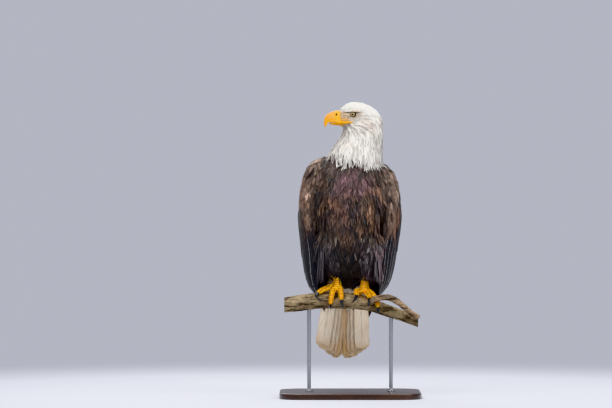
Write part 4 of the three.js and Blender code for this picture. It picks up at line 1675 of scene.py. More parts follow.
class Ground:
    """The skin as a ground that feathers grow on and lie along."""

    def __init__(self, skin: Object, kind: Array) -> None:
        """Reads the skin.

        Args:
            skin: the skin's object, with its bake map.
            kind: the region of each of its vertices.
        """
        self.points = vertices_of(skin)
        self.triangles = triangles_of(skin)
        self.kind = kind
        self.normals = unit(relax(normals_of(skin), edges_of(skin), 8, 0.5))
        self.tree = BVHTree.FromPolygons(self.points.tolist(), self.triangles.tolist())
        corners = read(skin.data.loop_triangles, "loops", 3)
        self.map = read(skin.data.uv_layers["OFBake"].data, "uv", 2, np.float32)[corners]

    def nearest(self, points: Array) -> tuple[Array, Array]:
        """The nearest place on the skin to each point, and the skin's normal there.

        Args:
            points: places on the model, in metres.

        Returns:
            The places on the skin, and the normals there.
        """
        shape = points.shape
        hits = [self.tree.find_nearest(p) for p in points.reshape(-1, 3).tolist()]
        places = np.array([tuple(h[0]) for h in hits])
        corners = self.triangles[np.array([h[2] for h in hits])]
        near = np.linalg.norm(self.points[corners] - places[:, None], axis=2)
        weight = 1 / (near + 1e-5)
        normals = (self.normals[corners] * weight[..., None]).sum(1)
        return places.reshape(shape), unit(normals).reshape(shape)

    def off_skin(self, points: Array) -> tuple[Array, Array, Array, Array]:
        """How points lie off the skin.

        Args:
            points: places on the model, in metres.

        Returns:
            The way from each to the skin, its length, whether the point is inside, and the normal there.
        """
        places, normals = self.nearest(points)
        off = places - points
        return off, np.linalg.norm(off, axis=-1), (off * normals).sum(-1) > 0, normals

    def sow(self, where: Choice, spacing: float | Field, seed: int) -> Sown:
        """Picks places for feathers, none nearer to another than the spacing.

        Args:
            where: says which points may carry feathers, from their places and regions.
            spacing: the least distance in millimetres, or what gives it for each place.
            seed: seeds the choice.

        Returns:
            Where the feathers grow.
        """
        rng = np.random.default_rng(seed)
        corners = self.points[self.triangles]
        middle = corners.mean(1)
        allowed = where(middle, self.kind[self.triangles[:, 0]])
        span = np.cross(corners[:, 1] - corners[:, 0], corners[:, 2] - corners[:, 0])
        area = np.linalg.norm(span, axis=1) / 2 * allowed
        gaps = at_each(spacing, middle) * MM
        density = area / gaps**2
        count = int(density.sum() * 6)
        chosen = rng.choice(len(area), count, p=density / density.sum())
        a, b = rng.random(count), rng.random(count)
        flip = a + b > 1
        a, b = np.where(flip, 1 - a, a), np.where(flip, 1 - b, b)
        weight = np.stack([1 - a - b, a, b], 1)
        places = (corners[chosen] * weight[..., None]).sum(1)
        normals = unit((self.normals[self.triangles[chosen]] * weight[..., None]).sum(1))
        spots = (self.map[chosen] * weight[..., None]).sum(1)
        kept = self.thinned(places, gaps[chosen], float(gaps[allowed].max()))
        kept = kept[self.in_the_open(places[kept], normals[kept])]
        return Sown(places[kept], normals[kept], spots[kept], rng.random(len(kept)), rng)

    def thinned(self, places: Array, gaps: Array, cell: float) -> Array:
        """The numbers of the places that stay when each keeps its distance from those before it.

        Args:
            places: the places, in the order in which they are tried.
            gaps: the distance that each keeps, in metres.
            cell: the largest of those distances.

        Returns:
            The numbers of the places that stay.
        """
        grid: dict[tuple[int, int, int], list[int]] = {}
        kept = []
        points, least = places.tolist(), (gaps**2).tolist()
        steps = [(dx, dy, dz) for dx in (-1, 0, 1) for dy in (-1, 0, 1) for dz in (-1, 0, 1)]
        for i, (x, y, z) in enumerate(points):
            cx, cy, cz = int(x // cell), int(y // cell), int(z // cell)
            near = (points[j] for dx, dy, dz in steps for j in grid.get((cx + dx, cy + dy, cz + dz), ()))
            if all((x - q[0]) ** 2 + (y - q[1]) ** 2 + (z - q[2]) ** 2 >= least[i] for q in near):
                grid.setdefault((cx, cy, cz), []).append(i)
                kept.append(i)
        return np.array(kept)

    def in_the_open(self, places: Array, normals: Array) -> Array:
        """Whether each place has room over it for a feather."""
        lift, room = 0.002, 0.012
        rays = zip((places + normals * lift).tolist(), normals.tolist())
        return np.array([self.tree.ray_cast(start, way, room)[0] is None for start, way in rays])


def tangent(ways: Array, normals: Array) -> Array:
    """Ways brought to lie along a surface."""
    return unit(ways - normals * (ways * normals).sum(-1, keepdims=True))


def lie_of_coat(points: Array) -> Array:
    """The way that feathers point: back from the bill, round the eyes, and down the neck and body.

    Args:
        points: places on the model, in metres.

    Returns:
        A unit vector for each place.
    """
    near = HEAD.inside(points)
    back = smoothstep(-25, -80, near[:, 0])
    under = smoothstep(0, -55, near[:, 2])
    way = np.stack([-(1 - 0.9 * back), np.zeros(len(near)), -(0.06 + 1.1 * back + 0.75 * under)], 1)
    x, z = near[:, 0] - EYE.x, near[:, 2] - EYE.z
    far = np.hypot(x, z) + 1e-6
    pull = np.exp(-((far / 15) ** 2)) * 1.1 * (np.abs(near[:, 1]) > 14)
    way += np.stack([x / far * pull, np.zeros(len(near)), z / far * pull], 1)
    head = unit(way) @ HEAD.axes
    z = over_perch(points)
    wing = smoothstep(0.085, 0.115, np.abs(points[:, 0]))
    drift = 0.16 * wing + 0.10 * smoothstep(0.02, 0.08, points[:, 1])
    fan = np.clip((points[:, 0] - 0.004) * 1.6, -0.16, 0.16) * smoothstep(200, 330, z) * (1 - wing)
    fan = fan * smoothstep(400, 370, z)
    body = unit(np.stack([fan, drift, -np.ones(len(near))], 1))
    return unit(blend(body, head, smoothstep(-78, -38, near[:, 2])))


@dataclass
class Tract:
    """One tract of small feathers."""

    name: str
    vane: Vane
    spacing: float | Field
    length: float | Field
    width: float | Field
    where: Choice
    tint: Choice
    rim: Choice
    rise: float = 3.6  # how far the tips stand off the skin, in millimetres
    ridge: float = 0.10  # how much each vane is arched across, as a share of its width
    thick: float = 0.5
    loose: float = 0.8  # how far tips stray out or in, in millimetres
    stray: float = 0.16  # how far feathers stray sideways from the lie of the coat
    seed: int = 1
    # Painted shade: each small feather is darker at its root, where the feathers over it shade it.
    root: float = 0.62  # how bright the root is against the rest
    sizes: tuple[float, float] = (0.88, 1.12)  # the least and the greatest share of the mean size
    cling: float = 0.30  # how fast feathers turn with ground that falls away under them
    vary: float = 0.12  # how much feathers differ in brightness
    hang: float = 0.0  # how far they keep to the lie of the coat where the ground turns away

    def build(self, ground: Ground, material: Material, slot: str) -> Object:
        """Grows the tract on the skin as one mesh.

        Args:
            ground: the skin.
            material: the feathers' finish.
            slot: not used; it is only passed on.

        Returns:
            The tract's object.
        """
        sown = ground.sow(self.where, self.spacing, self.seed)
        rng, count = sown.rng, len(sown.places)
        length = at_each(self.length, sown.places) * MM * rng.uniform(*self.sizes, count)
        width = at_each(self.width, sown.places) * MM * rng.uniform(*self.sizes, count)
        turn = rng.normal(0, self.stray, count)
        centre, out, sides = self.lay(ground, sown, length, width, turn)
        share = np.array(self.vane.stations)
        across = np.array(self.vane.across)
        high = -0.4 + (self.rise + 0.4) * share**0.9
        lift = rng.normal(0, 1, count)[:, None] * self.loose * share**2
        height = (high + lift)[..., None] * MM
        arch = (1 - across**2) * self.ridge * (width[:, None] * np.array(self.vane.widths))[..., None]
        top = sides + out[:, :, None] * (height + arch)[..., None]
        low = centre + out * (height + arch[:, :, len(across) // 2, None] - self.thick * MM)
        return self.mesh(top, low, sown, material, slot)

    def lay(self, ground: Ground, sown: Sown, length: Array, width: Array,
            turn: Array) -> tuple[Array, Array, Array]:
        """Lays each feather along the skin.

        Args:
            ground: the skin.
            sown: where the feathers grow.
            length: the feathers' lengths in metres.
            width: their widths in metres.
            turn: how far each strays from the lie of the coat, as a slope.

        Returns:
            The middle line, the way out at each of its points, and the points across.
        """
        centre, out = sown.places, sown.normals
        heading = tangent(lie_of_coat(centre), out)
        heading = tangent(heading + np.cross(out, heading) * turn[:, None], out)
        lines, outs, headings = [centre], [out], [heading]
        stations = self.vane.stations
        for before, here in zip(stations, stations[1:]):
            step = length * (here - before)
            lie = lie_of_coat(centre)
            way = tangent(lie, out) * (1 - self.hang) + lie * self.hang
            way = way + np.cross(out, way) * turn[:, None]
            heading = heading * 0.5 + way * 0.5
            heading = unit(tangent(heading, out) * (1 - self.hang) + heading * self.hang)
            aim = centre + heading * step[:, None]
            off, far, sunk, normal = ground.off_skin(aim)
            most = np.where(sunk, far, np.minimum(far, step * self.cling))
            aim = aim + off * (most / np.maximum(far, 1e-9))[:, None]
            trust = np.where(far - most > 0.002, 0.15, 0.7)[:, None]
            out = unit(out * (1 - trust) + normal * trust)
            heading = unit(aim - centre)
            out = tangent(out, heading)
            centre = aim
            lines.append(centre)
            outs.append(out)
            headings.append(heading)
        line, out = np.stack(lines, 1), np.stack(outs, 1)
        side = unit(np.cross(out, np.stack(headings, 1)))
        half = width[:, None] * np.array(self.vane.widths) / 2
        across = []
        for share in self.vane.across:
            point = line + side * (share * half)[..., None]
            if share:
                off, far, sunk, _ = ground.off_skin(point)
                most = np.where(sunk, np.minimum(far, half), np.minimum(far, half * 0.4))
                most = np.where(sunk, most, np.where(far < half * 0.8, most, half * 0.12))
                point = point + off * (most / np.maximum(far, 1e-9))[..., None]
            across.append(point)
        return line, out, np.stack(across, 2)

    def mesh(self, top: Array, low: Array, sown: Sown, material: Material, slot: str) -> Object:
        """Joins laid feathers into one mesh and colours each.

        Args:
            top: upper points, as feathers by stations by points across by 3.
            low: lower points, as feathers by stations by 3.
            sown: where the feathers grow.
            material: their finish.
            slot: not used.

        Returns:
            The tract's object.
        """
        count, local = len(top), self.vane.local()
        points = np.concatenate([top.reshape(count, -1, 3), low], 1)
        obj = mesh_object(self.name, points.reshape(-1, 3), self.vane.repeated(count))
        obj.data.set_sharp_from_angle(angle=math.radians(SHARP_QUILL))
        vertex_map(obj, "OFBake", (sown.spots[:, None] + (local - 0.5)[None] * BAKE_PATCH).reshape(-1, 2))
        vertex_map(obj, "vane", np.tile(local, (count, 1)))
        # Painted shade towards each feather's root, then a random brightness for each feather.
        shade = self.root + (1 - self.root) * smoothstep(0.0, 0.6, local[:, 1])
        shade = shade[None, :] * np.exp(sown.rng.normal(0, self.vary, count))[:, None]
        tint = self.tint(sown.places, sown.chance)[:, None] * shade[..., None]
        point_colour(obj, "tint", tint.reshape(-1, 3))
        point_colour(obj, "rim", np.repeat(self.rim(sown.places, sown.chance), len(local), axis=0))
        point_number(obj, "seed", np.repeat(sown.chance, len(local)))
        LOG.info("%s: %d feathers", self.name, count)
        return dress(obj, material)


def off_bare_skin(points: Array) -> Array:
    """Whether places on the head are clear of the eyes, the lores and the bill.

    Args:
        points: places on the model, in metres.

    Returns:
        Whether feathers may grow at each place.
    """
    near = HEAD.inside(points)
    x, y, z = near[:, 0] - EYE.x, np.abs(near[:, 1]), near[:, 2] - EYE.z
    eye = (np.hypot(x / 10.2, z / 8.4) < 1) & (y > 12)
    lores = (x > 12) & (z < 9) & (z > -23) & (y > 7)
    bill = x > 37.5 + 0.2 * z
    gape = (x > -3) & (z < -20) & (z > -31) & (y > 10)
    return ~(eye | lores | bill | gape)


def head_spacing(points: Array) -> Array:
    """Small feathers about the face and larger ones towards the nape."""
    near = HEAD.inside(points)
    return 2.2 + 1.5 * smoothstep(25, -70, near[:, 0]) + 0.8 * smoothstep(-20, -60, near[:, 2])


def head_length(points: Array) -> Array:
    """Lengths of the head's feathers in millimetres."""
    near = HEAD.inside(points)
    return 8 + 17 * smoothstep(25, -75, near[:, 0]) + 9 * smoothstep(-25, -60, near[:, 2])


def head_width(points: Array) -> Array:
    """Widths of the head's feathers in millimetres."""
    return 2.6 + 1.4 * smoothstep(25, -75, HEAD.inside(points)[:, 0])


def on_head(points: Array, region: Array) -> Array:
    """The feathered part of the head."""
    return (region == Region.HEAD) & off_bare_skin(points)


def collar(points: Array, region: Array) -> Array:
    """The plan of the neck, inside which the white feathers have their roots.

    Args:
        points: places on the model, in metres.
        region: the kind of ground at each of them.

    Returns:
        Whether each place is inside the plan.
    """
    near = (region == Region.NECK) | (region == Region.TRUNK)
    x = (points[:, 0] / MM - 17) / np.where(points[:, 0] < 0.017, 69, 80)
    plan = np.hypot(x, (points[:, 1] / MM + 8) / 80) < 1
    return near & (plan | ((over_perch(points) > 438) & (points[:, 0] > 0.03)))


def on_neck(points: Array, region: Array) -> Array:
    """The neck down to where the hackles' roots end."""
    uneven = 9 * clouds(points, 0.014, 15)
    return collar(points, region) & (over_perch(points) > hackle_edge(points) + 28 + uneven)


def on_hackle_rim(points: Array, region: Array) -> Array:
    """The band whose feathers make the pointed lower rim of the hackles.

    Args:
        points: places on the model, in metres.
        region: the kind of ground at each of them.

    Returns:
        Whether the tract grows at each place.
    """
    z = over_perch(points) - hackle_edge(points)
    z = z - 9 * clouds(points, 0.014, 15)
    return collar(points, region) & (z > 32) & (z < 60)


def on_body(points: Array, region: Array) -> Array:
    """The dark coat of the body, and the ground under the hackles' tips."""
    body = (region == Region.TRUNK) | (region == Region.NECK)
    return body & ((over_perch(points) < hackle_edge(points) + 18) | ~collar(points, region))


def on_breast(points: Array, region: Array) -> Array:
    """The breast and belly."""
    return on_body(points, region) & (points[:, 1] < 0.06)


def on_back(points: Array, region: Array) -> Array:
    """The mantle and rump between the wings."""
    return on_body(points, region) & (points[:, 1] >= 0.06)


def on_sides(points: Array, region: Array) -> Array:
    """The sides of the trunk, whose feathers stand out over the gap in front of the wing.

    Args:
        points: places on the model, in metres.
        region: the kind of ground at each of them.

    Returns:
        Whether the tract grows at each place.
    """
    z = over_perch(points)
    wide = np.abs(points[:, 0] - lean(z) * MM) > 0.078
    return (region == Region.TRUNK) & wide & (z > 135) & (z < 340) & (points[:, 1] < 0.03)


def on_thighs(points: Array, region: Array) -> Array:
    """The feathered thighs."""
    return (region == Region.THIGH) & (over_perch(points) > thigh_hem(points) - 5)


def on_shoulders(points: Array, region: Array) -> Array:
    """The small coverts of the wings."""
    return region == Region.COVERTS


def on_tail_root(points: Array, region: Array) -> Array:
    """The coverts round the root of the tail."""
    return region == Region.TAIL


def breast_length(points: Array) -> Array:
    """Lengths of the body's feathers: longer lower down."""
    return 40 + 14 * smoothstep(330, 160, over_perch(points))


def thigh_length(points: Array) -> Array:
    """Lengths of the thighs' feathers, which end together where the bare shanks start.

    Args:
        points: places on the model, in metres.

    Returns:
        A length in millimetres for each place.
    """
    outer = smoothstep(0.06, 0.09, np.abs(points[:, 0] + 0.005))
    hem = thigh_hem(points) + 2 - 24 * outer
    return np.clip(over_perch(points) - hem, 9, 34 + 22 * outer)


def tail_covert_tint(points: Array, chance: Array) -> Array:
    """Cream coverts, some of them stained."""
    return MARKINGS.mixed(MARKINGS.tail, [smoothstep(0.3, 1.0, chance) * 0.8])


def white_rim(points: Array, chance: Array) -> Array:
    """The rims of white feathers."""
    return np.broadcast_to(MARKINGS.white_rim, (len(points), 3))


def dark_rim(points: Array, chance: Array) -> Array:
    """The rims of dark feathers: paler on some, and hardly so on others.

    Args:
        points: places on the model, in metres.
        chance: a random number for each of them.

    Returns:
        A colour for each feather's rim.
    """
    rim = MARKINGS.rim_tint(points, chance)
    own = MARKINGS.breast_tint(points, chance)
    share = smoothstep(0.3, 1.0, np.modf(chance * 7.3)[0]) * 0.8 * smoothstep(60, 230, over_perch(points))
    return blend(own, rim, share)


def wing_rim(points: Array, chance: Array) -> Array:
    """The rims of the wing's coverts.

    Args:
        points: places on the model, in metres.
        chance: a random number for each of them.

    Returns:
        A colour for each feather's rim.
    """
    rim = MARKINGS.rim_tint(points, chance)
    own = MARKINGS.wing_tint(points, chance)
    share = 0.1 + 0.7 * smoothstep(0.3, 1.0, np.modf(chance * 5.7)[0])
    return blend(own, rim, share * smoothstep(150, 250, over_perch(points)))


def thigh_rim(points: Array, chance: Array) -> Array:
    """The streaks on the thighs' feathers.

    Args:
        points: places on the model, in metres.
        chance: a random number for each of them.

    Returns:
        A colour for each feather's rim.
    """
    own = MARKINGS.thigh_tint(points, chance)
    share = smoothstep(0.3, 0.95, np.modf(chance * 5.3)[0])
    return own + (MARKINGS.thigh_rim[0] - own) * share[:, None] * 0.7


def strand_length(points: Array) -> Array:
    """Lengths of the thighs' loose strands."""
    return thigh_length(points) * 0.8


def on_nape(points: Array, region: Array) -> Array:
    """The back of the head and neck, where the feathers stand out in shaggy tips.

    Args:
        points: places on the model, in metres.
        region: the kind of ground at each of them.

    Returns:
        Whether the tract grows at each place.
    """
    near = HEAD.inside(points)
    white = (region == Region.HEAD) | (region == Region.NECK)
    return white & (near[:, 0] < -62) & (near[:, 2] < -2) & (near[:, 2] > -110)


def on_flanks(points: Array, region: Array) -> Array:
    """The outer sides of the thighs, whose feathers hang straight down past the shanks."""
    z = over_perch(points)
    return (region == Region.THIGH) & (np.abs(points[:, 0] + 0.003) > 0.082) & (z > 88) & (z < 150)


def flank_length(points: Array) -> Array:
    """Lengths that bring the flanks' feathers down to one hem."""
    return np.clip(over_perch(points) - 38, 45, 98)


def on_lores(points: Array, region: Array) -> Array:
    """The thinly feathered skin between the bill and the eye.

    Args:
        points: places on the model, in metres.
        region: the kind of ground at each of them.

    Returns:
        Whether the tract grows at each place.
    """
    near = HEAD.inside(points)
    x, y, z = near[:, 0], np.abs(near[:, 1]), near[:, 2]
    return (region == Region.HEAD) & (x > 12) & (x < 37) & (z < 9) & (z > -23) & (y > 7)


def lores_tint(points: Array, chance: Array) -> Array:
    """Pale bristly feathers, some of them dark.

    Args:
        points: places on the model, in metres.
        chance: a random number for each of them.

    Returns:
        A colour for each feather.
    """
    near = HEAD.inside(points)
    dark = smoothstep(0.72, 0.8, chance) * 0.85
    warm = smoothstep(-8, -20, near[:, 2]) * 0.5
    return MARKINGS.mixed(MARKINGS.bristles, [warm, dark])


def shoulder_length(points: Array) -> Array:
    """Lengths of the wing's small coverts: longer lower down."""
    return 32 + 22 * smoothstep(400, 220, over_perch(points))


COAT_SLOTS = {"white": "white_plumage", "breast": "dark_plumage", "dark": "dark_plumage"}


def tracts() -> list[tuple[Tract, str]]:
    """The tracts of small feathers, each with the name of its finish.

    Returns:
        Each tract with its finish, in the order in which they are grown.
    """
    white = {"tint": MARKINGS.white_tint, "rim": white_rim}
    breast = {"tint": MARKINGS.breast_tint, "rim": dark_rim, "thick": 0.3}
    thigh = {"tint": MARKINGS.thigh_tint, "rim": thigh_rim, "thick": 0.3}
    wing = {"tint": MARKINGS.wing_tint, "rim": wing_rim}
    on_white = [
        Tract("feathers_head", POINTED_VANE, head_spacing, head_length, head_width, on_head, **white,
              rise=1.8, loose=0.4, stray=0.14, seed=11, root=0.66, thick=0.25, vary=0.08),
        Tract("feathers_lores", HACKLE_VANE, 2.3, 6.5, 1.1, on_lores, lores_tint, white_rim,
              rise=1.3, loose=0.5, stray=0.35, seed=21, root=0.9, thick=0.25),
        Tract("feathers_neck", HACKLE_VANE, 5.4, 46.0, 6.4, on_neck, **white,
              rise=4.6, loose=1.2, stray=0.17, seed=12, root=0.42, thick=0.3, vary=0.16),
        Tract("strands_neck", HACKLE_VANE, 5.6, 40.0, 3.0, on_neck, **white,
              rise=6.0, loose=1.2, stray=0.22, seed=22, root=0.5, thick=0.3, vary=0.2),
        Tract("feathers_nape", HACKLE_VANE, 6.6, 34.0, 4.5, on_nape, **white,
              rise=5.6, loose=1.8, stray=0.24, seed=19, root=0.78, thick=0.3),
        Tract("feathers_hackle_rim", HACKLE_VANE, 5.4, 54.0, 5.6, on_hackle_rim, **white,
              rise=6.4, loose=1.5, stray=0.15, seed=13, root=0.6, thick=0.3),
    ]
    on_dark_body = [
        Tract("feathers_breast", POINTED_VANE, 7.0, breast_length, 10.5, on_breast, **breast,
              rise=4.2, loose=1.4, stray=0.2, seed=14, cling=0.16, vary=0.4, hang=0.2, root=0.42),
        Tract("strands_breast", HACKLE_VANE, 7.4, 34.0, 3.4, on_breast, **breast,
              rise=4.9, loose=1.0, stray=0.24, seed=23, cling=0.16, vary=0.5, hang=0.2),
        Tract("feathers_sides", POINTED_VANE, 9.0, 52.0, 13.0, on_sides, **breast,
              rise=10.0, loose=2.0, stray=0.12, seed=24, cling=0.05, vary=0.3, hang=0.8),
    ]
    on_mantle = [
        Tract("feathers_back", SCALE_VANE, 12.5, 50.0, 24.0, on_back, **wing,
              rise=4.4, loose=0.5, stray=0.08, seed=15, root=0.5, vary=0.32),
    ]
    on_legs = [
        Tract("feathers_thighs", POINTED_VANE, 7.0, thigh_length, 9.5, on_thighs, **thigh,
              rise=4.0, loose=1.4, stray=0.16, seed=16, cling=0.04, vary=0.3, hang=0.4),
        Tract("strands_thighs", HACKLE_VANE, 7.0, strand_length, 3.0, on_thighs, **thigh,
              rise=5.0, loose=1.4, stray=0.25, seed=25, cling=0.04, vary=0.5, hang=0.4),
        Tract("feathers_flanks", POINTED_VANE, 7.4, flank_length, 10.0, on_flanks, **thigh,
              rise=3.0, loose=2.0, stray=0.12, seed=20, cling=0.0, vary=0.3, hang=1.0),
    ]
    on_wings = [
        Tract("feathers_shoulders", SCALE_VANE, 8.6, shoulder_length, 13.5, on_shoulders, **wing,
              rise=4.0, loose=0.8, stray=0.14, seed=17, vary=0.36, root=0.45, thick=0.3),
        Tract("strands_shoulders", HACKLE_VANE, 9.0, 30.0, 3.4, on_shoulders, **wing,
              rise=4.6, loose=0.8, stray=0.2, seed=26, vary=0.5, thick=0.3),
    ]
    on_tail = [
        Tract("feathers_tail_root", POINTED_VANE, 9.0, 48.0, 15.0, on_tail_root, tail_covert_tint, white_rim,
              rise=3.4, loose=1.0, stray=0.12, seed=18, root=0.85),
    ]
    groups = ((on_white, "white"), (on_dark_body, "breast"), (on_mantle, "dark"),
              (on_legs, "breast"), (on_wings, "dark"), (on_tail, "white"))
    return [(tract, finish) for group, finish in groups for tract in group]


# -------------------------------------------------------------------------------------------------- flight feathers


FLIGHT_VANE = Vane(
    stations=(0.0, 0.08, 0.2, 0.35, 0.5, 0.65, 0.78, 0.87, 0.93, 0.97, 1.0),
    widths=(0.4, 0.75, 0.94, 1.0, 1.0, 1.0, 0.97, 0.86, 0.66, 0.42, 0.1),
    across=(-1.0, -0.6, 0.0, 0.6, 1.0))


@dataclass
class LongFeathers:
    """Feathers large enough to be laid one by one, as one mesh with their shafts."""

    name: str
    vane: Vane = FLIGHT_VANE
    thick: float = 0.9
    shaft: float = 1.1  # the shaft's radius at its root, in millimetres
    shaft_sides: int = 6

    def build(self, top: Array, out: Array, tint: Array, rim: Array, seed: int, material: Material,
              slot: str, replaces: Sequence[str]) -> Object:
        """Makes the mesh.

        Args:
            top: upper points in metres, as feathers by stations by points across by 3.
            out: the way out of the upper side at each.
            tint: a colour for each upper point.
            rim: a colour for each feather.
            seed: seeds the small differences between feathers.
            material: the finish.
            slot: not used.
            replaces: the CAD nodes that the feathers stand for.

        Returns:
            The object.
        """
        count, _, columns = top.shape[:3]
        middle, share = columns // 2, np.array(self.vane.stations)
        low = top[:, :, middle] - out[:, :, middle] * self.thick * MM
        vanes = np.concatenate([top.reshape(count, -1, 3), low], 1)
        shades = np.concatenate([tint.reshape(count, -1, 3), tint[:, :, middle]], 1)
        surfaces = [(vanes.reshape(-1, 3), self.vane.repeated(count))]
        local, colour = [np.tile(self.vane.local(), (count, 1))], [shades.reshape(-1, 3)]
        along = np.concatenate([np.repeat(share, self.shaft_sides), [0.0, 1.0]])
        radius = self.shaft * (1 - 0.85 * share) * MM
        for i in range(count):
            spine, ways = (top[i, :, middle] + low[i]) / 2, out[i, :, middle]
            surfaces.append(tube(rod_rings(spine, ways, radius * 0.8, radius * 1.25, self.shaft_sides)))
            local.append(np.stack([np.full(len(along), 0.5), along], 1))
            colour.append(np.repeat(tint[i, :, middle], self.shaft_sides, axis=0))
            colour.append(tint[i, [0, -1], middle])
        cell = np.repeat(np.arange(count), vanes.shape[1])
        cell = np.concatenate([cell, np.repeat(np.arange(count), len(along))])
        local = np.concatenate(local)
        obj = joined(self.name, surfaces)
        obj.data.set_sharp_from_angle(angle=math.radians(SHARP_QUILL))
        spots = cell[:, None] + [0.1, 0] + local * [0.8, 0.96] + [0, 0.02]
        vertex_map(obj, "OFBake", spots * [1 / count, 1])
        vertex_map(obj, "vane", local)
        point_colour(obj, "tint", np.concatenate(colour))
        point_colour(obj, "rim", rim[cell])
        point_number(obj, "seed", np.random.default_rng(seed).random(count)[cell])
        return dress(obj, material, replaces)


@dataclass
class WingRow:
    """A row of long feathers down the outer face of a folded wing, each overlapping the one in front."""

    name: str
    count: int
    width: float
    start: Field  # height over the perch of each root, from the place's y in millimetres
    end: Field  # height of each tip, from its share across the wing
    lift: float  # how far the row stands off the wing's outer face, in millimetres
    cant: float = 1.6  # how much higher the front edge of each lies than its back edge
    share: tuple[float, float] = (0.02, 0.97)
    ragged: float = 2.5  # how unevenly the tips end, in millimetres

    def points(self, wing: WingForm, rng: np.random.Generator) -> tuple[Array, Array]:
        """The upper points of the row's feathers, and the ways out from them.

        Args:
            wing: the wing that the row lies on.
            rng: draws the differences between feathers.

        Returns:
            Both as feathers by stations by points across by 3.
        """
        vane = FLIGHT_VANE
        share = np.linspace(*self.share, self.count) + rng.normal(0, 0.004, self.count)
        probe = wing.at(wing.level(np.full(self.count, 150.0)), share)[0][:, 1] / MM
        level_0 = wing.level(self.start(probe))
        level_1 = wing.level(self.end(share) + rng.normal(0, self.ragged, self.count))
        t = np.array(vane.stations)
        level = level_0[:, None] + (level_1 - level_0)[:, None] * t
        ahead = wing.at(level, share[:, None] + 0.01)[0] - wing.at(level, share[:, None] - 0.01)[0]
        metres = np.linalg.norm(ahead, axis=-1) / 0.02
        half = self.width / 2 * MM * np.array(vane.widths) / metres
        u = np.array(vane.across)
        place, out = wing.at(level[..., None], share[:, None, None] + half[..., None] * u)
        high = self.lift - self.cant * u[None, None, :] * np.ones((self.count, len(t), 1))
        high = high + 0.8 * (1 - u**2)
        high = high * smoothstep(-0.1, 0.12, t)[None, :, None]
        high = high + rng.normal(0, 0.25, self.count)[:, None, None]
        front = smoothstep(self.share[0] - 0.05, self.share[0] + 0.2, share)
        high = high * (0.4 + 0.6 * front)[:, None, None]
        return place + out * high[..., None] * MM, out


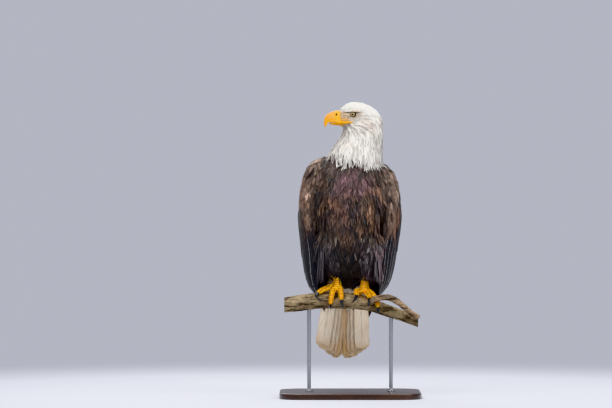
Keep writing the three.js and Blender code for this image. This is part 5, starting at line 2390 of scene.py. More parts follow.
@dataclass
class FoldedWing:
    """A folded wing: rows of long coverts over the inner flight feathers, and the primaries below them."""

    wing: WingForm
    primary_root: tuple[float, float, float] = (84, 104, 12)
    primary_root_step: tuple[float, float, float] = (-8, 6.5, 0)
    primary_tip: tuple[float, float, float] = (52, 152, -88)
    primary_tip_step: tuple[float, float, float] = (-6.5, 3.2, -16)
    primaries: int = 5
    primary_width: float = 36.0
    facing: tuple[float, float, float] = (0.62, 0.78, 0)
    seeds: dict = field(default_factory=lambda: {Side.LEFT: 47, Side.RIGHT: 40})
    vane_seed: int = 60

    def rows(self) -> list[WingRow]:
        """The rows of long feathers, from the lowest lying to the highest.

        Returns:
            The rows.
        """
        label = self.wing.side.label

        def hem(share: Array) -> Array:
            """Height of the secondaries' tips."""
            return -22 + 26 * smoothstep(0.25, 0.0, share) + 8 * smoothstep(0.8, 1.0, share)

        def covert_end(share: Array) -> Array:
            """Height of the greater coverts' tips."""
            return 150 - 70 * share

        def median_end(share: Array) -> Array:
            """Height of the median coverts' tips."""
            return 208 - 60 * share

        return [
            WingRow(f"secondaries_{label}", 17, 27.0, lambda y: 176 - 0.55 * y, hem, 1.2, 1.5),
            WingRow(f"greater_coverts_{label}", 14, 27.0, lambda y: 232 - 0.5 * y, covert_end, 2.6, 1.4,
                    (0.20, 0.97), 10.0),
            WingRow(f"median_coverts_{label}", 15, 25.0, lambda y: 276 - 0.4 * y, median_end, 3.6, 1.3,
                    (0.24, 0.97), 12.0),
        ]

    def build(self, materials: dict[str, Material]) -> None:
        """Makes the wing's rows and its primaries.

        Args:
            materials: all finishes by their short names.
        """
        for i, row in enumerate(self.rows()):
            rng = np.random.default_rng(self.seeds[self.wing.side] + i)
            top, out = row.points(self.wing, rng)
            chance = rng.random(row.count)
            roots = top[:, 3, 2]
            flight = i == 0
            own = MARKINGS.flight_tint(roots, chance) if flight else MARKINGS.wing_tint(roots, chance) * 0.8
            if i == 1:
                own = own * 0.3 + MARKINGS.flight_tint(roots, chance) * 0.7
            own = own * np.exp(rng.normal(0, 0.26, row.count))[:, None]
            tint = np.broadcast_to(own[:, None, None], top.shape).copy()
            edge = MARKINGS.flight_rim[0] if flight else MARKINGS.rim_tint(roots, chance)
            rim = own + (edge - own) * smoothstep(0.3, 0.9, rng.random(row.count))[:, None] * 0.8
            finish, slot = ("flight", "flight_feathers") if flight else ("dark", "dark_plumage")
            feathers = LongFeathers(row.name)
            feathers.build(top, out, tint, rim, self.vane_seed + i, materials[finish], slot, ())
        self.build_primaries(materials["flight"])

    def build_primaries(self, material: Material) -> None:
        """Makes the stack of primaries, whose tips step down towards the tail.

        Args:
            material: the finish.
        """
        vane, sign, label = FLIGHT_VANE, self.wing.side.value, self.wing.side.label
        tops, outs = [], []
        for i in range(self.primaries):
            root = np.array(self.primary_root) + np.array(self.primary_root_step) * i
            tip = np.array(self.primary_tip) + np.array(self.primary_tip_step) * i
            down = tip - root
            across = unit(np.cross(down, self.facing))
            face = np.cross(-unit(down), across)
            t, u = np.array(vane.stations), np.array(vane.across)
            half = self.primary_width / 2 * np.array(vane.widths)
            half = half * (1 - 0.35 * smoothstep(0.4, 0.95, t))
            line = root + down * t[:, None]
            grid = line[:, None] + across * (half[:, None] * u)[..., None]
            arch = 2.4 * (1 - u**2)[None, :, None] * face + 1.4 * (t**2)[:, None, None] * face
            grid = grid + arch
            grid[..., 0] = grid[..., 0] * sign - 5
            grid[..., 2] += PERCH_TOP
            way = np.broadcast_to(face * [sign, 1, 1], grid.shape)
            if sign < 0:
                grid, way = grid[:, ::-1], way[:, ::-1]
            tops.append(grid * MM)
            outs.append(way)
        top, out = np.stack(tops), np.stack(outs)
        chance = np.linspace(0.2, 0.8, self.primaries)
        own = MARKINGS.flight_tint(top[:, 4, 2], chance)
        tint = np.broadcast_to(own[:, None, None], top.shape).copy()
        rim = MARKINGS.rim_tint(top[:, 4, 2], chance) * 0.7
        feathers = LongFeathers(f"primaries_{label}", thick=1.4)
        feathers.build(top, out, tint, rim, self.vane_seed + 10, material, "flight_feathers",
                       (f"wing_primaries_{label}",))


@dataclass
class Tail:
    """Twelve tail feathers, each pair under the one before."""

    form: TailForm = TAIL
    pairs: int = 6
    stations: tuple[float, ...] = (
        0.0, 0.1, 0.22, 0.34, 0.46, 0.58, 0.68, 0.77, 0.84, 0.89, 0.93, 0.965, 0.988, 1.0)
    round_ends: tuple[float, ...] = (
        0.6, 0.72, 0.82, 0.9, 0.96, 1.0, 1.0, 1.0, 1.0, 0.97, 0.91, 0.78, 0.56, 0.24)
    square_ends: tuple[float, ...] = (
        0.6, 0.72, 0.82, 0.9, 0.96, 1.0, 1.0, 1.0, 1.0, 1.0, 1.0, 0.97, 0.88, 0.66)
    across: tuple[float, ...] = (-1.0, -0.7, -0.35, 0.0, 0.35, 0.7, 1.0)
    seed: int = 5

    def build(self, material: Material) -> Object:
        """Makes the tail's feathers.

        Args:
            material: the finish.

        Returns:
            The tail's object.
        """
        form = self.form
        t, u = np.array(self.stations), np.array(self.across)
        widths, square = np.array(self.round_ends), np.array(self.square_ends)
        rng = np.random.default_rng(self.seed)
        tops, outs, tints = [], [], []
        for pair in range(self.pairs):
            for side in (-1, 1):
                rank = pair + 0.5
                ends = widths + (square - widths) * smoothstep(1, 4, pair)
                half = form.width[pair] / 2 * ends * rng.uniform(0.97, 1.03)
                z = -form.length[pair] * t * rng.uniform(0.985, 1.01)
                wear = rng.normal(0, 1.0, (1, len(u))) * smoothstep(0.75, 1.0, t)[:, None] * 3.2
                x = half[:, None] * u + 0.6 * rng.normal(0, 1, (len(t), 1)) * (np.abs(u) > 0.9)
                y = 2.6 * (1 - u**2)[None] + 5.0 * (t**2)[:, None] * 0.5
                grid = np.stack([x, y + 0 * x, z[:, None] + wear + 0 * x], -1)
                way = np.broadcast_to(np.array([0, 1.0, 0]), grid.shape)
                for axis, angle in (("z", side * form.droop * pair), ("y", -side * form.spread * rank)):
                    turn = rotation(axis, angle).T
                    grid, way = grid @ turn, way @ turn
                grid = grid + np.array([side * form.step * rank, -form.sink * pair, -form.quill])
                tints.append(self.stained(grid, rng))
                tops.append(form.outside(grid))
                outs.append(unit(form.outside(grid + way) - form.outside(grid)))
        top, out, tint = np.stack(tops), np.stack(outs), np.stack(tints)
        rim = np.broadcast_to(MARKINGS.tail_rim, (len(top), 3))
        feathers = LongFeathers("tail_feathers", Vane(self.stations, self.round_ends, self.across), 1.1, 1.7)
        return feathers.build(top, out, tint, rim, 9, material, "tail_plumage", ("tail",))

    def stained(self, grid: Array, rng: np.random.Generator) -> Array:
        """A dirty cream that is stained buff along the middle and at the tips.

        Args:
            grid: a feather's points in the tail's own millimetres.
            rng: draws the differences between feathers.

        Returns:
            A colour for each point.
        """
        middle = np.exp(-(((grid[..., 0] - 2) / 12) ** 2)) * 0.75
        tips = smoothstep(-222, -266, grid[..., 2])
        flat = grid.reshape(-1, 3) * MM / [1, 1, 5]
        patch = smoothstep(-0.1, 0.5, clouds(flat, 0.009, 21)).reshape(grid.shape[:2]) * 0.45
        share = np.clip(middle + tips * 0.75 + patch, 0, 1) * rng.uniform(0.6, 1.0)
        return blend(*MARKINGS.tail, share)


# ------------------------------------------------------------------------------------------------- bill, eyes and feet


@dataclass
class Bill:
    """The bill, its cere and the lips of the gape, in the head's own millimetres."""

    ridge: tuple = (
        (38, 11.5), (50, 12), (62, 9), (75, 3.5), (84, -5), (88.5, -17), (89, -29), (86.5, -40.5))
    edge: tuple = (
        (34, -26), (44, -25.5), (55, -25.5), (65, -24.5), (73, -24.5), (78.5, -27), (82, -33), (85.4, -40))
    half_width: tuple = (17.5, 17, 15.6, 13.4, 10.6, 7.4, 4.2, 0.8)
    top: tuple = ((20, -26.2), (36, -26.2), (52, -25.9), (64, -25.2), (74, -25.2))
    keel: tuple = ((20, -34), (36, -34), (52, -33), (64, -31.5), (74, -27.5))
    lower_width: tuple = (14, 14, 12.4, 9.6, 4.5)
    cere_end: float = 57.0
    cere_slant: float = 0.12
    swell: float = 0.55
    nostril: tuple[float, float] = (51.5, 0.6)
    gape: tuple = ((50, 15, -25.4), (34, 24, -25.2), (18, 31, -24.8), (2, 35.5, -24.4))
    gape_radius: tuple = (2.4, 2.6, 2.4, 1.6)

    def surface(self, share: Array, side: Array) -> Array:
        """A place on the upper bill, from the share of its length and how far round it is from -1 to 1.

        Args:
            share: how far along the bill, from 0 to 1.
            side: how far round it.

        Returns:
            Points in the head's own millimetres.
        """
        ridge, edge = series(self.ridge, share), series(self.edge, share)
        width = series(self.half_width, share)
        fall = (1 - np.sqrt(1 - 0.998 * side**2)) ** 0.85
        xz = ridge + (edge - ridge) * fall[..., None]
        return np.stack([xz[..., 0], side * width, xz[..., 1]], -1)

    def sides(self, count: int) -> Array:
        """How far round the bill its lines of points lie."""
        return np.sin(np.linspace(-np.pi / 2, np.pi / 2, count))

    def cut(self, side: Array) -> Array:
        """The share of the bill's length at which the cere ends, along each line of points.

        Args:
            side: how far round the bill each line lies.

        Returns:
            A share for each line.
        """
        shares = np.linspace(0, 0.6, 300)
        grid = self.surface(*np.meshgrid(shares, side, indexing="ij"))
        past = grid[..., 0] - self.cere_slant * grid[..., 2]
        return np.array([np.interp(self.cere_end, past[:, k], shares) for k in range(len(side))])

    def closed(self, grid: Array, roof: float) -> Array:
        """Closes open rings over the bill's hollow underside.

        Args:
            grid: the open rings.
            roof: how far the underside is hollowed, in millimetres.

        Returns:
            The closed rings.
        """
        across = np.linspace(0, 1, 9)[1:-1]
        first, last = grid[:, :1], grid[:, -1:]
        under = last + (first - last) * across[None, :, None]
        width = np.linalg.norm(last - first, axis=-1, keepdims=True)
        under[..., 2] += (roof * np.sin(np.pi * across)[None, :] * np.minimum(width[:, :, 0] / 30, 1))
        return np.concatenate([grid, under], 1)

    def horn(self, material: Material) -> None:
        """Makes the upper bill.

        Args:
            material: the finish.
        """
        side = self.sides(41)
        start = self.cut(side) - 0.012
        share = start[None] + (1 - start)[None] * np.linspace(0, 1, 64)[:, None] ** 0.9
        grid = self.surface(share, np.broadcast_to(side, share.shape))
        wave = clouds(grid.reshape(-1, 3) * MM, 0.012, 31).reshape(share.shape)
        grid[..., 1] += 0.25 * wave * np.sign(side)
        hook = smoothstep(78, 88, grid[..., 0]) * smoothstep(-28, -39, grid[..., 2])
        grid[..., 0] -= hook * 0.6
        obj = swept(HEAD.outside(self.closed(grid, 5.0)), "horn_bill_upper")
        near = HEAD.inside(vertices_of(obj))
        # Painted shade: darker towards the hook's tip, which faces down, and along the edge over the lower bill.
        tip = smoothstep(-30, -41, near[:, 2]) * 0.25
        lip = smoothstep(2.2, 0.0, np.abs(near[:, 2] + 25)) * (near[:, 0] < 74) * 0.12
        point_number(obj, "stain", tip + lip)
        unwrapped(obj)
        dress(obj, material, ["bill_upper"])

    def lower(self, material: Material) -> None:
        """Makes the lower bill.

        Args:
            material: the finish.
        """
        share = np.linspace(0, 1, 40)
        top, keel, width = series(self.top, share), series(self.keel, share), series(self.lower_width, share)
        angle = np.linspace(np.pi, 0, 25)
        power = 2 / 2.6
        y = np.sign(np.cos(angle)) * np.abs(np.cos(angle)) ** power
        drop = np.abs(np.sin(angle)) ** power
        tip = np.minimum(1, ((1 - share) / 0.1 + 0.05)) ** 0.5
        xz = top[:, None] + (keel - top)[:, None] * (drop[None] * tip[:, None])[..., None]
        grid = np.stack([xz[..., 0], y[None] * (width * tip)[:, None], xz[..., 1]], -1)
        obj = swept(HEAD.outside(self.closed(grid, -1.5)[:, ::-1]), "horn_bill_lower")
        point_number(obj, "stain", 0.0)
        unwrapped(obj)
        dress(obj, material, ["bill_lower"])

    def cere(self, material: Material) -> None:
        """Makes the cere with its nostrils, and the lips that run back from it.

        Args:
            material: the finish.
        """
        side = self.sides(61)
        end = self.cut(side)
        t = np.linspace(0, 1, 44)
        share = end[None] * t[:, None] ** 0.8
        grid = self.surface(share, np.broadcast_to(side, share.shape))
        out = unit(np.stack([0 * share, grid[..., 1] / 17.0, (grid[..., 2] + 12) / 24.0], -1))
        roll = np.sqrt(np.clip(1 - smoothstep(0.82, 1.0, t) ** 2, 0, 1))
        x, z = grid[..., 0] - self.nostril[0], grid[..., 2] - self.nostril[1]
        slit = np.hypot((x + 0.35 * z) / 3.0, (z - 0.3 * x) / 5.0)
        hole = smoothstep(1.3, 0.5, slit) * (np.abs(grid[..., 1]) > 4)
        brim = np.exp(-(((slit - 1.7) / 0.5) ** 2)) * (np.abs(grid[..., 1]) > 4)
        lump = clouds(grid.reshape(-1, 3) * MM, 0.009, 33).reshape(share.shape)
        high = self.swell * roll[:, None] + 0.25 * lump - 2.6 * hole + 0.35 * brim
        grid = grid + out * high[..., None]
        rings = HEAD.outside(self.closed(grid, 3.0))
        parts = [tube(rings)]
        inside = np.zeros(len(parts[0][0]))
        full = np.zeros(rings.shape[:2])
        full[:, :len(side)] = hole
        inside[:full.size] = full.ravel()
        marks = [inside]
        lip = np.linspace(0, 1, 26)
        for mirror in (1, -1):
            for high, thick in ((1.5, 0.62), (-1.2, 0.58)):
                path = rounded_path(self.gape, lip) * [1, mirror, 1]
                path[:, 2] += high * (1 - 0.75 * smoothstep(0.7, 1.0, lip)) + 0.25 * np.sin(lip * 23)
                radius = series(self.gape_radius, lip) * thick * (1 - 0.45 * smoothstep(0.9, 1.0, lip))
                lips = rod_rings(path, np.array([0, 0, 1.0]), radius * 1.1, radius, 12)
                parts.append(tube(HEAD.outside(lips)))
                marks.append(np.zeros(len(parts[-1][0])))
        obj = joined("waxy_cere", parts)
        obj.data.set_sharp_from_angle(angle=math.radians(SHARP_CERE))
        near = HEAD.inside(vertices_of(obj))
        waxy, pink, dark = MARKINGS.cere
        back = smoothstep(43, 37, near[:, 0] - 0.1 * near[:, 2]) * (near[:, 2] > -22) * 0.5
        # Painted shade: the nostrils' sunken hollows darkened.
        tint = blend(blend(waxy, pink, back), dark, smoothstep(0.15, 0.9, np.concatenate(marks)))
        point_colour(obj, "tint", tint)
        unwrapped(obj)
        dress(obj, material, ["cere"])


@dataclass
class Eyes:
    """The two eyeballs, each with a cornea that stands out over the iris."""

    iris: float = 7.4
    cornea: float = 1.1  # how far the cornea stands out, in millimetres
    toe_in: float = 12.0  # degrees that each eye looks forward of straight out

    def build(self, material: Material) -> None:
        """Makes both eyes.

        Args:
            material: their finish.
        """
        angle = math.radians(90 - self.toe_in)
        for side in Side:
            axis = np.array([math.cos(angle), math.sin(angle) * side.value, 0.0]) @ HEAD.axes
            middle = HEAD.outside([EYE.x, EYE.y * side.value, EYE.z])
            bpy.ops.object.select_all(action="DESELECT")
            bpy.ops.mesh.primitive_uv_sphere_add(
                segments=48, ring_count=40, radius=EYE.radius * MM, location=middle,
                rotation=Vector(axis).to_track_quat("Z", "Y").to_euler())
            ball = bpy.context.active_object
            ball.name = f"eyeball_{side.label}"
            bpy.ops.object.transform_apply(location=True, rotation=True, scale=True)
            bpy.ops.object.shade_smooth()
            points = vertices_of(ball)
            near = (points - middle) / MM
            front = near @ axis
            flat = near - front[:, None] * axis
            far = np.linalg.norm(flat, axis=1)
            bulge = self.cornea * smoothstep(self.iris, 2.0, far) * (front > 0)
            move_vertices(ball, points + axis * bulge[:, None] * MM)
            across = unit(np.cross([0, 0, 1.0], axis))
            point_number(ball, "ring", np.where(front > 0, far / 8, 1.4))
            point_number(ball, "ray", np.arctan2(flat[:, 2], flat @ across) * 2)
            unwrapped(ball)
            dress(ball, material, [f"eye_{side.label}"])


@dataclass(frozen=True)
class PerchForm:
    """The cut branch along X, with its axis given below the perch's top, in millimetres."""

    x: tuple[float, float] = (-205, 212)
    axis: tuple = (-32, -25, -20, -19, -19.5, -29, -46, -65, -87)
    radius: tuple = (24, 25.5, 26, 25.5, 25, 22.5, 20.5, 18.5, 16)
    bark: float = 0.045
    shoot: tuple = (
        (62, -12, -27), (73, -40, -16), (92, -51, -9), (119, -50, -8), (150, -44, -23), (188, -36, -55),
        (213, -32, -72))
    shoot_radius: tuple = (10, 10.5, 10, 10, 9.5, 9)

    def share(self, x: Array) -> Array:
        """How far along the branch a place is."""
        return (np.asarray(x, float) - self.x[0]) / (self.x[1] - self.x[0])

    def round(self, places: Sequence[Sequence[float]], thickness: Array) -> Array:
        """Places given round the branch, as millimetres over the perch.

        Args:
            places: rows of an angle from the top towards the front, an x and a lift off the bark.
            thickness: how much further out each place is.

        Returns:
            Rows of x, y and z.
        """
        angle, x, lift = np.array(places, float).T
        share = self.share(x)
        reach = series(self.radius, share) * (1 + self.bark) + lift + thickness
        angle = np.radians(angle)
        return np.stack([x, -reach * np.sin(angle), series(self.axis, share) + reach * np.cos(angle)], 1)

    def away(self, points: Array) -> Array:
        """The way from the branch's axis to each point."""
        axis = series(self.axis, np.clip(self.share(points[:, 0]), 0, 1))
        return unit(np.stack([np.zeros(len(points)), points[:, 1], points[:, 2] - axis], 1))


PERCH = PerchForm()


@dataclass(frozen=True)
class ToeForm:
    """A toe and its claw, as places round the branch."""

    toe: tuple
    claw: tuple


@dataclass(frozen=True)
class FootForm:
    """A foot: the shank's path and its four toes."""

    side: Side
    shank: tuple
    toes: dict[str, ToeForm]
    toe_radius: tuple = (9.6, 8.8, 8.6, 7.6, 6.4)
    claw_radius: tuple = (6.6, 6.1, 4.9, 3.0, 0.8)

    def toe_path(self, toe: ToeForm, share: Array) -> Array:
        """The middle line of a toe, in millimetres over the perch."""
        places = PERCH.round(toe.toe, self.toe_radius[3])
        return rounded_path([self.shank[-2], *places], share)

    def claw_path(self, toe: ToeForm, share: Array) -> Array:
        """The middle line of a toe's claw."""
        start = self.toe_path(toe, np.array([0.93]))[0]
        return rounded_path([start, *PERCH.round(toe.claw, 0.0)], share)


RIGHT_SHANK = ((-46, 12, 98), (-44.5, 6, 74), (-43, 0, 54), (-41, -5, 38), (-40, -8, 26), (-39.5, -9, 17))
LEFT_SHANK = ((50, 16, 88), (48, 8, 66), (46.5, 1, 48), (45.5, -4, 33), (44.5, -7, 22), (44, -8, 14))
RIGHT_TOES = {
    "outer": ToeForm(
        ((8, -60, 10), (20, -78, 5), (34, -94, 1.5), (46, -104, 1)), ((64, -104, 6), (90, -88, 7))),
    "middle": ToeForm(
        ((30, -52, 8), (60, -57, 3), (90, -60, 1.5), (108, -61, 1.5)), ((124, -61, 4), (146, -59, 5))),
    "inner": ToeForm(
        ((28, -31, 9), (52, -29, 6), (74, -28, 3), (86, -27.5, 2)), ((108, -25, 8), (132, -21, 14))),
    "hind": ToeForm(
        ((-28, -37, 8), (-58, -35, 3), (-84, -34, 1.5), (-98, -33, 1.5)), ((-120, -31, 5), (-148, -28, 5))),
}
LEFT_TOES = {
    "outer": ToeForm(
        ((18, 66, 7), (44, 80, 3), (74, 86, 1.5), (92, 87, 1.5)), ((116, 87, 5), (142, 85, 5))),
    "middle": ToeForm(
        ((28, 52, 8), (42, 59, 9), (52, 61, 9), (62, 61, 8)), ((82, 60, 11), (104, 57, 11))),
    "inner": ToeForm(
        ((22, 32, 8), (34, 21, 9), (48, 18, 8), (62, 23, 6)), ((80, 15, 11), (98, 5, 13))),
    "hind": ToeForm(
        ((-28, 36, 8), (-58, 28, 3), (-84, 21, 1.5), (-98, 18, 1.5)), ((-128, 13, 5), (-160, 9, 6))),
}
FEET = (FootForm(Side.RIGHT, RIGHT_SHANK, RIGHT_TOES), FootForm(Side.LEFT, LEFT_SHANK, LEFT_TOES))


@dataclass
class Foot:
    """What a foot carries outside its skin: plates across the shank and toes, and the claws."""

    form: FootForm
    plates: int = 11
    shank_plates: int = 6
    half_angle: float = 66.0
    height: float = 1.0
    probe: float = 26.0  # how far out the skin is looked for, in millimetres
    bone: float = 7.0  # where a plate lies if no skin is found there
    seeds: dict = field(default_factory=lambda: {Side.LEFT: 81, Side.RIGHT: 80})

    def build(self, skin: Ground, materials: dict[str, Material]) -> None:
        """Makes the foot's plates and claws.

        Args:
            skin: the skin that the plates lie on.
            materials: all finishes by their short names.
        """
        form, label = self.form, self.form.side.label
        rng = np.random.default_rng(self.seeds[form.side])
        parts, tints = [], []
        share = np.linspace(0, 1, 120)
        for name, toe in form.toes.items():
            path = form.toe_path(toe, share)
            self.plate_row(skin, path, PERCH.away(path), (0.24, 0.93), self.plates, rng, parts, tints)
        path = series(form.shank, share)
        front = np.broadcast_to(np.array([0, -1.0, 0.15]), path.shape)
        self.plate_row(skin, path, front, (0.34, 0.93), self.shank_plates, rng, parts, tints)
        obj = joined(f"scutes_{label}", parts)
        point_colour(obj, "tint", np.concatenate(tints))
        unwrapped(obj)
        dress(obj, materials["scute"])
        for name, toe in form.toes.items():
            self.claw(name, toe, materials["claw"])

    def plate_row(self, skin: Ground, path: Array, up: Array, span: tuple[float, float], count: int,
                  rng: np.random.Generator, parts: list, tints: list) -> None:
        """Lays a row of overlapping plates along a toe or shank.

        Args:
            skin: the skin that they lie on.
            path: the toe's middle line, in millimetres over the perch.
            up: the way that the plates face at each point of it.
            span: where the row starts and ends along the path.
            count: how many plates there are.
            rng: draws the differences between them.
            parts: takes each plate's points and faces.
            tints: takes each plate's colours.
        """
        along = unit(np.gradient(path, axis=0))
        up = tangent(up, along)
        side = np.cross(along, up)
        knots = np.linspace(0, 1, len(path))
        pitch = (span[1] - span[0]) / count
        rows, columns = 7, 13
        a, b = np.meshgrid(np.linspace(-1, 1, rows), np.linspace(-1, 1, columns), indexing="ij")
        ring, crease_shade = np.maximum(np.abs(a), np.abs(b)), MARKINGS.scute_edge[0]
        first = (np.arange(rows - 1)[:, None] * columns + np.arange(columns - 1)).reshape(-1, 1)
        faces = first + [0, columns, columns + 1, 1]
        if np.dot(np.cross(along[0], up[0]), side[0]) <= 0:
            faces = faces[:, ::-1]
        for i in range(count):
            middle = span[0] + (i + 0.5) * pitch
            long = pitch * 0.62 * rng.uniform(0.92, 1.08)
            bow = 0.22 * pitch * (b**2 - 0.4) + rng.normal(0, 0.03) * pitch * b
            place = np.clip(middle + long * a * (1 - 0.25 * b**4) - bow, 0, 1)
            angle = np.radians(self.half_angle * rng.uniform(0.9, 1.1) * b)
            base = np.stack([np.interp(place, knots, path[:, k]) for k in range(3)], -1)
            high = np.stack([np.interp(place, knots, up[:, k]) for k in range(3)], -1)
            across = np.stack([np.interp(place, knots, side[:, k]) for k in range(3)], -1)
            out = unit(high * np.cos(angle)[..., None] + across * np.sin(angle)[..., None])
            base[..., 2] += PERCH_TOP
            start = (base + out * self.probe) * MM
            found = np.empty_like(start)
            for index in np.ndindex(*a.shape):
                hit = skin.tree.ray_cast(start[index].tolist(), (-out[index]).tolist(), 0.03)
                found[index] = hit[0] if hit[0] is not None else (base[index] + out[index] * self.bone) * MM
            slope = 0.55 + 0.45 * smoothstep(-1, 0.8, a)
            tall = -0.5 + (self.height + 0.5) * smoothstep(1.0, 0.72, ring) * slope
            found = found + out * tall[..., None] * MM
            parts.append((found.reshape(-1, 3), faces))
            tint = blend(*MARKINGS.foot, rng.uniform(0, 1))
            # Painted shade: each plate darkened towards its rim, in the creases where the plates overlap.
            tints.append(blend(tint, crease_shade, smoothstep(0.38, 0.86, ring).ravel() * 0.95))

    def claw(self, name: str, toe: ToeForm, material: Material) -> None:
        """Makes a toe's claw.

        Args:
            name: the toe's name.
            toe: its form.
            material: the finish.
        """
        form = self.form
        share = np.linspace(0, 1, 30)
        path = form.claw_path(toe, share)
        away = PERCH.away(path)
        radius = series(form.claw_radius, share)
        sides = 20
        angle = np.arange(sides) / sides * 2 * np.pi
        flat = 1 - 0.16 * smoothstep(-0.4, -0.9, np.sin(angle))
        path[:, 2] += PERCH_TOP
        wide, deep = (radius * MM * 0.86)[:, None] * np.ones(sides), (radius * MM)[:, None] * flat
        rings = rod_rings(path * MM, away, wide, deep, sides)
        obj = swept(rings, f"talon_{name}_{form.side.label}")
        point_number(obj, "stain", 0.0)
        unwrapped(obj)
        dress(obj, material, [f"claw_{name}_{form.side.label}"])


# ----------------------------------------------------------------------------------------------------- perch and stand


@dataclass(frozen=True)
class EndGrain:
    """A sawn end: growth rings in pale weathered wood, with cracks from the middle."""

    name: str = "bark_end_grain"

    def material(self) -> Material:
        """The finish as a material.

        Returns:
            The material.
        """
        made = Recipe(self.name, {"Roughness": 0.85, "Specular IOR Level": 0.2})
        ring = made.attribute("ring", "Fac")
        place = made.place()
        wave = made.noise(place, 60.0, 3.0)
        years = made.math("FRACT", made.plus(made.times(ring, 9.0), wave))
        colour = made.mix(made.step(years, 0.2, 0.9), srgb(166, 140, 106), srgb(120, 94, 66))
        colour = made.mix(made.step(ring, 0.86, 0.93), colour, srgb(70, 56, 44))
        spots = made.noise(place, 240.0, 4.0)
        colour = made.mix(made.times(made.step(spots, 0.5, 0.7), 0.35), colour, srgb(92, 84, 74))
        made.set("Base Color", colour)
        made.bump(made.plus(years, spots), 0.4, 0.0005)
        return made.material


@dataclass
class Perch:
    """The branch and the side shoot that grows out of it."""

    form: PerchForm = PERCH
    rings: int = 190
    sides: int = 96
    grain: tuple[float, float, float] = (26, 7, 7)  # how long the bark's marks are along each axis
    shoot_rings: int = 120
    shoot_sides: int = 56
    shoot_grain: tuple[float, float, float] = (14, 5, 5)
    relief: float = 1.5

    def build(self, bark: Material, young: Material, cut: Material) -> None:
        """Makes the branch, its shoot and their sawn ends.

        Args:
            bark: the branch's finish.
            young: the shoot's finish.
            cut: the sawn ends' finish.
        """
        form = self.form
        u = np.linspace(0, 1, self.rings)
        x = form.x[0] + (form.x[1] - form.x[0]) * u
        axis = np.stack([x, 0 * x, series(form.axis, u) + PERCH_TOP], 1)
        angle = np.arange(self.sides) / self.sides * 2 * np.pi
        swell = 0.6 * np.sin(3 * angle + 9 * u[:, None]) + 0.4 * np.sin(5 * angle - 21 * u[:, None])
        swell = 1 + form.bark * (swell + 0.5 * np.sin(17 * u)[:, None])
        radius = series(form.radius, u)[:, None] * swell - 0.6
        ring = np.stack([0 * radius, np.cos(angle) * radius, np.sin(angle) * radius], -1)
        rings = self.weathered(axis[:, None] + ring, ring, self.grain)
        self.finish("bark_branch", rings * MM, bark, cut, ["perch_branch"])
        v = np.linspace(0, 1, self.shoot_rings)
        path = rounded_path(form.shoot, v)
        radius = series(form.shoot_radius, v)
        angle = np.arange(self.shoot_sides) / self.shoot_sides * 2 * np.pi
        swell = 1 + 0.05 * np.sin(2 * angle + 14 * v[:, None])
        thick = radius[:, None] * swell - 0.5
        path[:, 2] += PERCH_TOP
        rings = rod_rings(path, np.array([0.0, -1.0, 0.0]), thick, thick, self.shoot_sides)
        rings = self.weathered(rings, rings - path[:, None], self.shoot_grain)
        self.finish("bark_shoot", rings * MM, young, cut, ["perch_side_shoot"])

    def weathered(self, rings: Array, out: Array, grain: Sequence[float]) -> Array:
        """Carves cracks, ridges and lumps into rings of bark.

        Args:
            rings: rings of points in millimetres.
            out: the way out of the wood at each point.
            grain: how long the marks are along each axis.

        Returns:
            The carved rings.
        """
        flat = rings.reshape(-1, 3)
        crack = clouds(flat / np.array(grain) * 0.02, 0.02, 41).reshape(rings.shape[:2])
        fine = clouds(flat / (np.array(grain) * 0.35) * 0.02, 0.02, 43).reshape(rings.shape[:2])
        lump = clouds(flat * MM, 0.022, 44).reshape(rings.shape[:2])
        groove = -1.4 * np.exp(-((crack / 0.10) ** 2))
        high = (0.8 * lump + 0.45 * fine + groove) * self.relief * 0.6
        return rings + unit(out) * high[..., None]

    def finish(self, name: str, rings: Array, material: Material, cut: Material,
               nodes: Sequence[str]) -> None:
        """Makes a length of bark, and the sawn face at each end of it.

        Args:
            name: the name of the bark's object.
            rings: rings of points in metres.
            material: the bark's finish.
            cut: the sawn ends' finish.
            nodes: the CAD nodes that the bark stands for.
        """
        count, sides = rings.shape[:2]
        obj = swept(rings, name)
        places = np.stack(np.meshgrid(np.linspace(0, 1, count), np.arange(sides) / sides, indexing="ij"), -1)
        vertex_map(obj, "OFBake", np.concatenate([places.reshape(-1, 2), np.zeros((2, 2))]))
        dress(obj, material, nodes)
        parts, marks = [], []
        for end, inner in ((0, 1), (-1, -2)):
            middle = rings[end].mean(0)
            out = unit(middle - rings[inner].mean(0))
            share = np.linspace(1.0, 0.04, 12)
            face = middle + (rings[end] - middle)[None] * share[:, None, None] + out * 0.0004
            rough = clouds(face.reshape(-1, 3), 0.005, 45).reshape(face.shape[:2]) * 0.0003
            face = face + out * rough[..., None]
            points, faces = tube(face, closed=False)
            if end == 0:
                faces = faces[:, ::-1]
            parts.append((points, faces))
            marks.append(np.repeat(share, sides))
        ends = joined(f"{name}_ends", parts)
        point_number(ends, "ring", np.concatenate(marks))
        unwrapped(ends)
        dress(ends, cut)


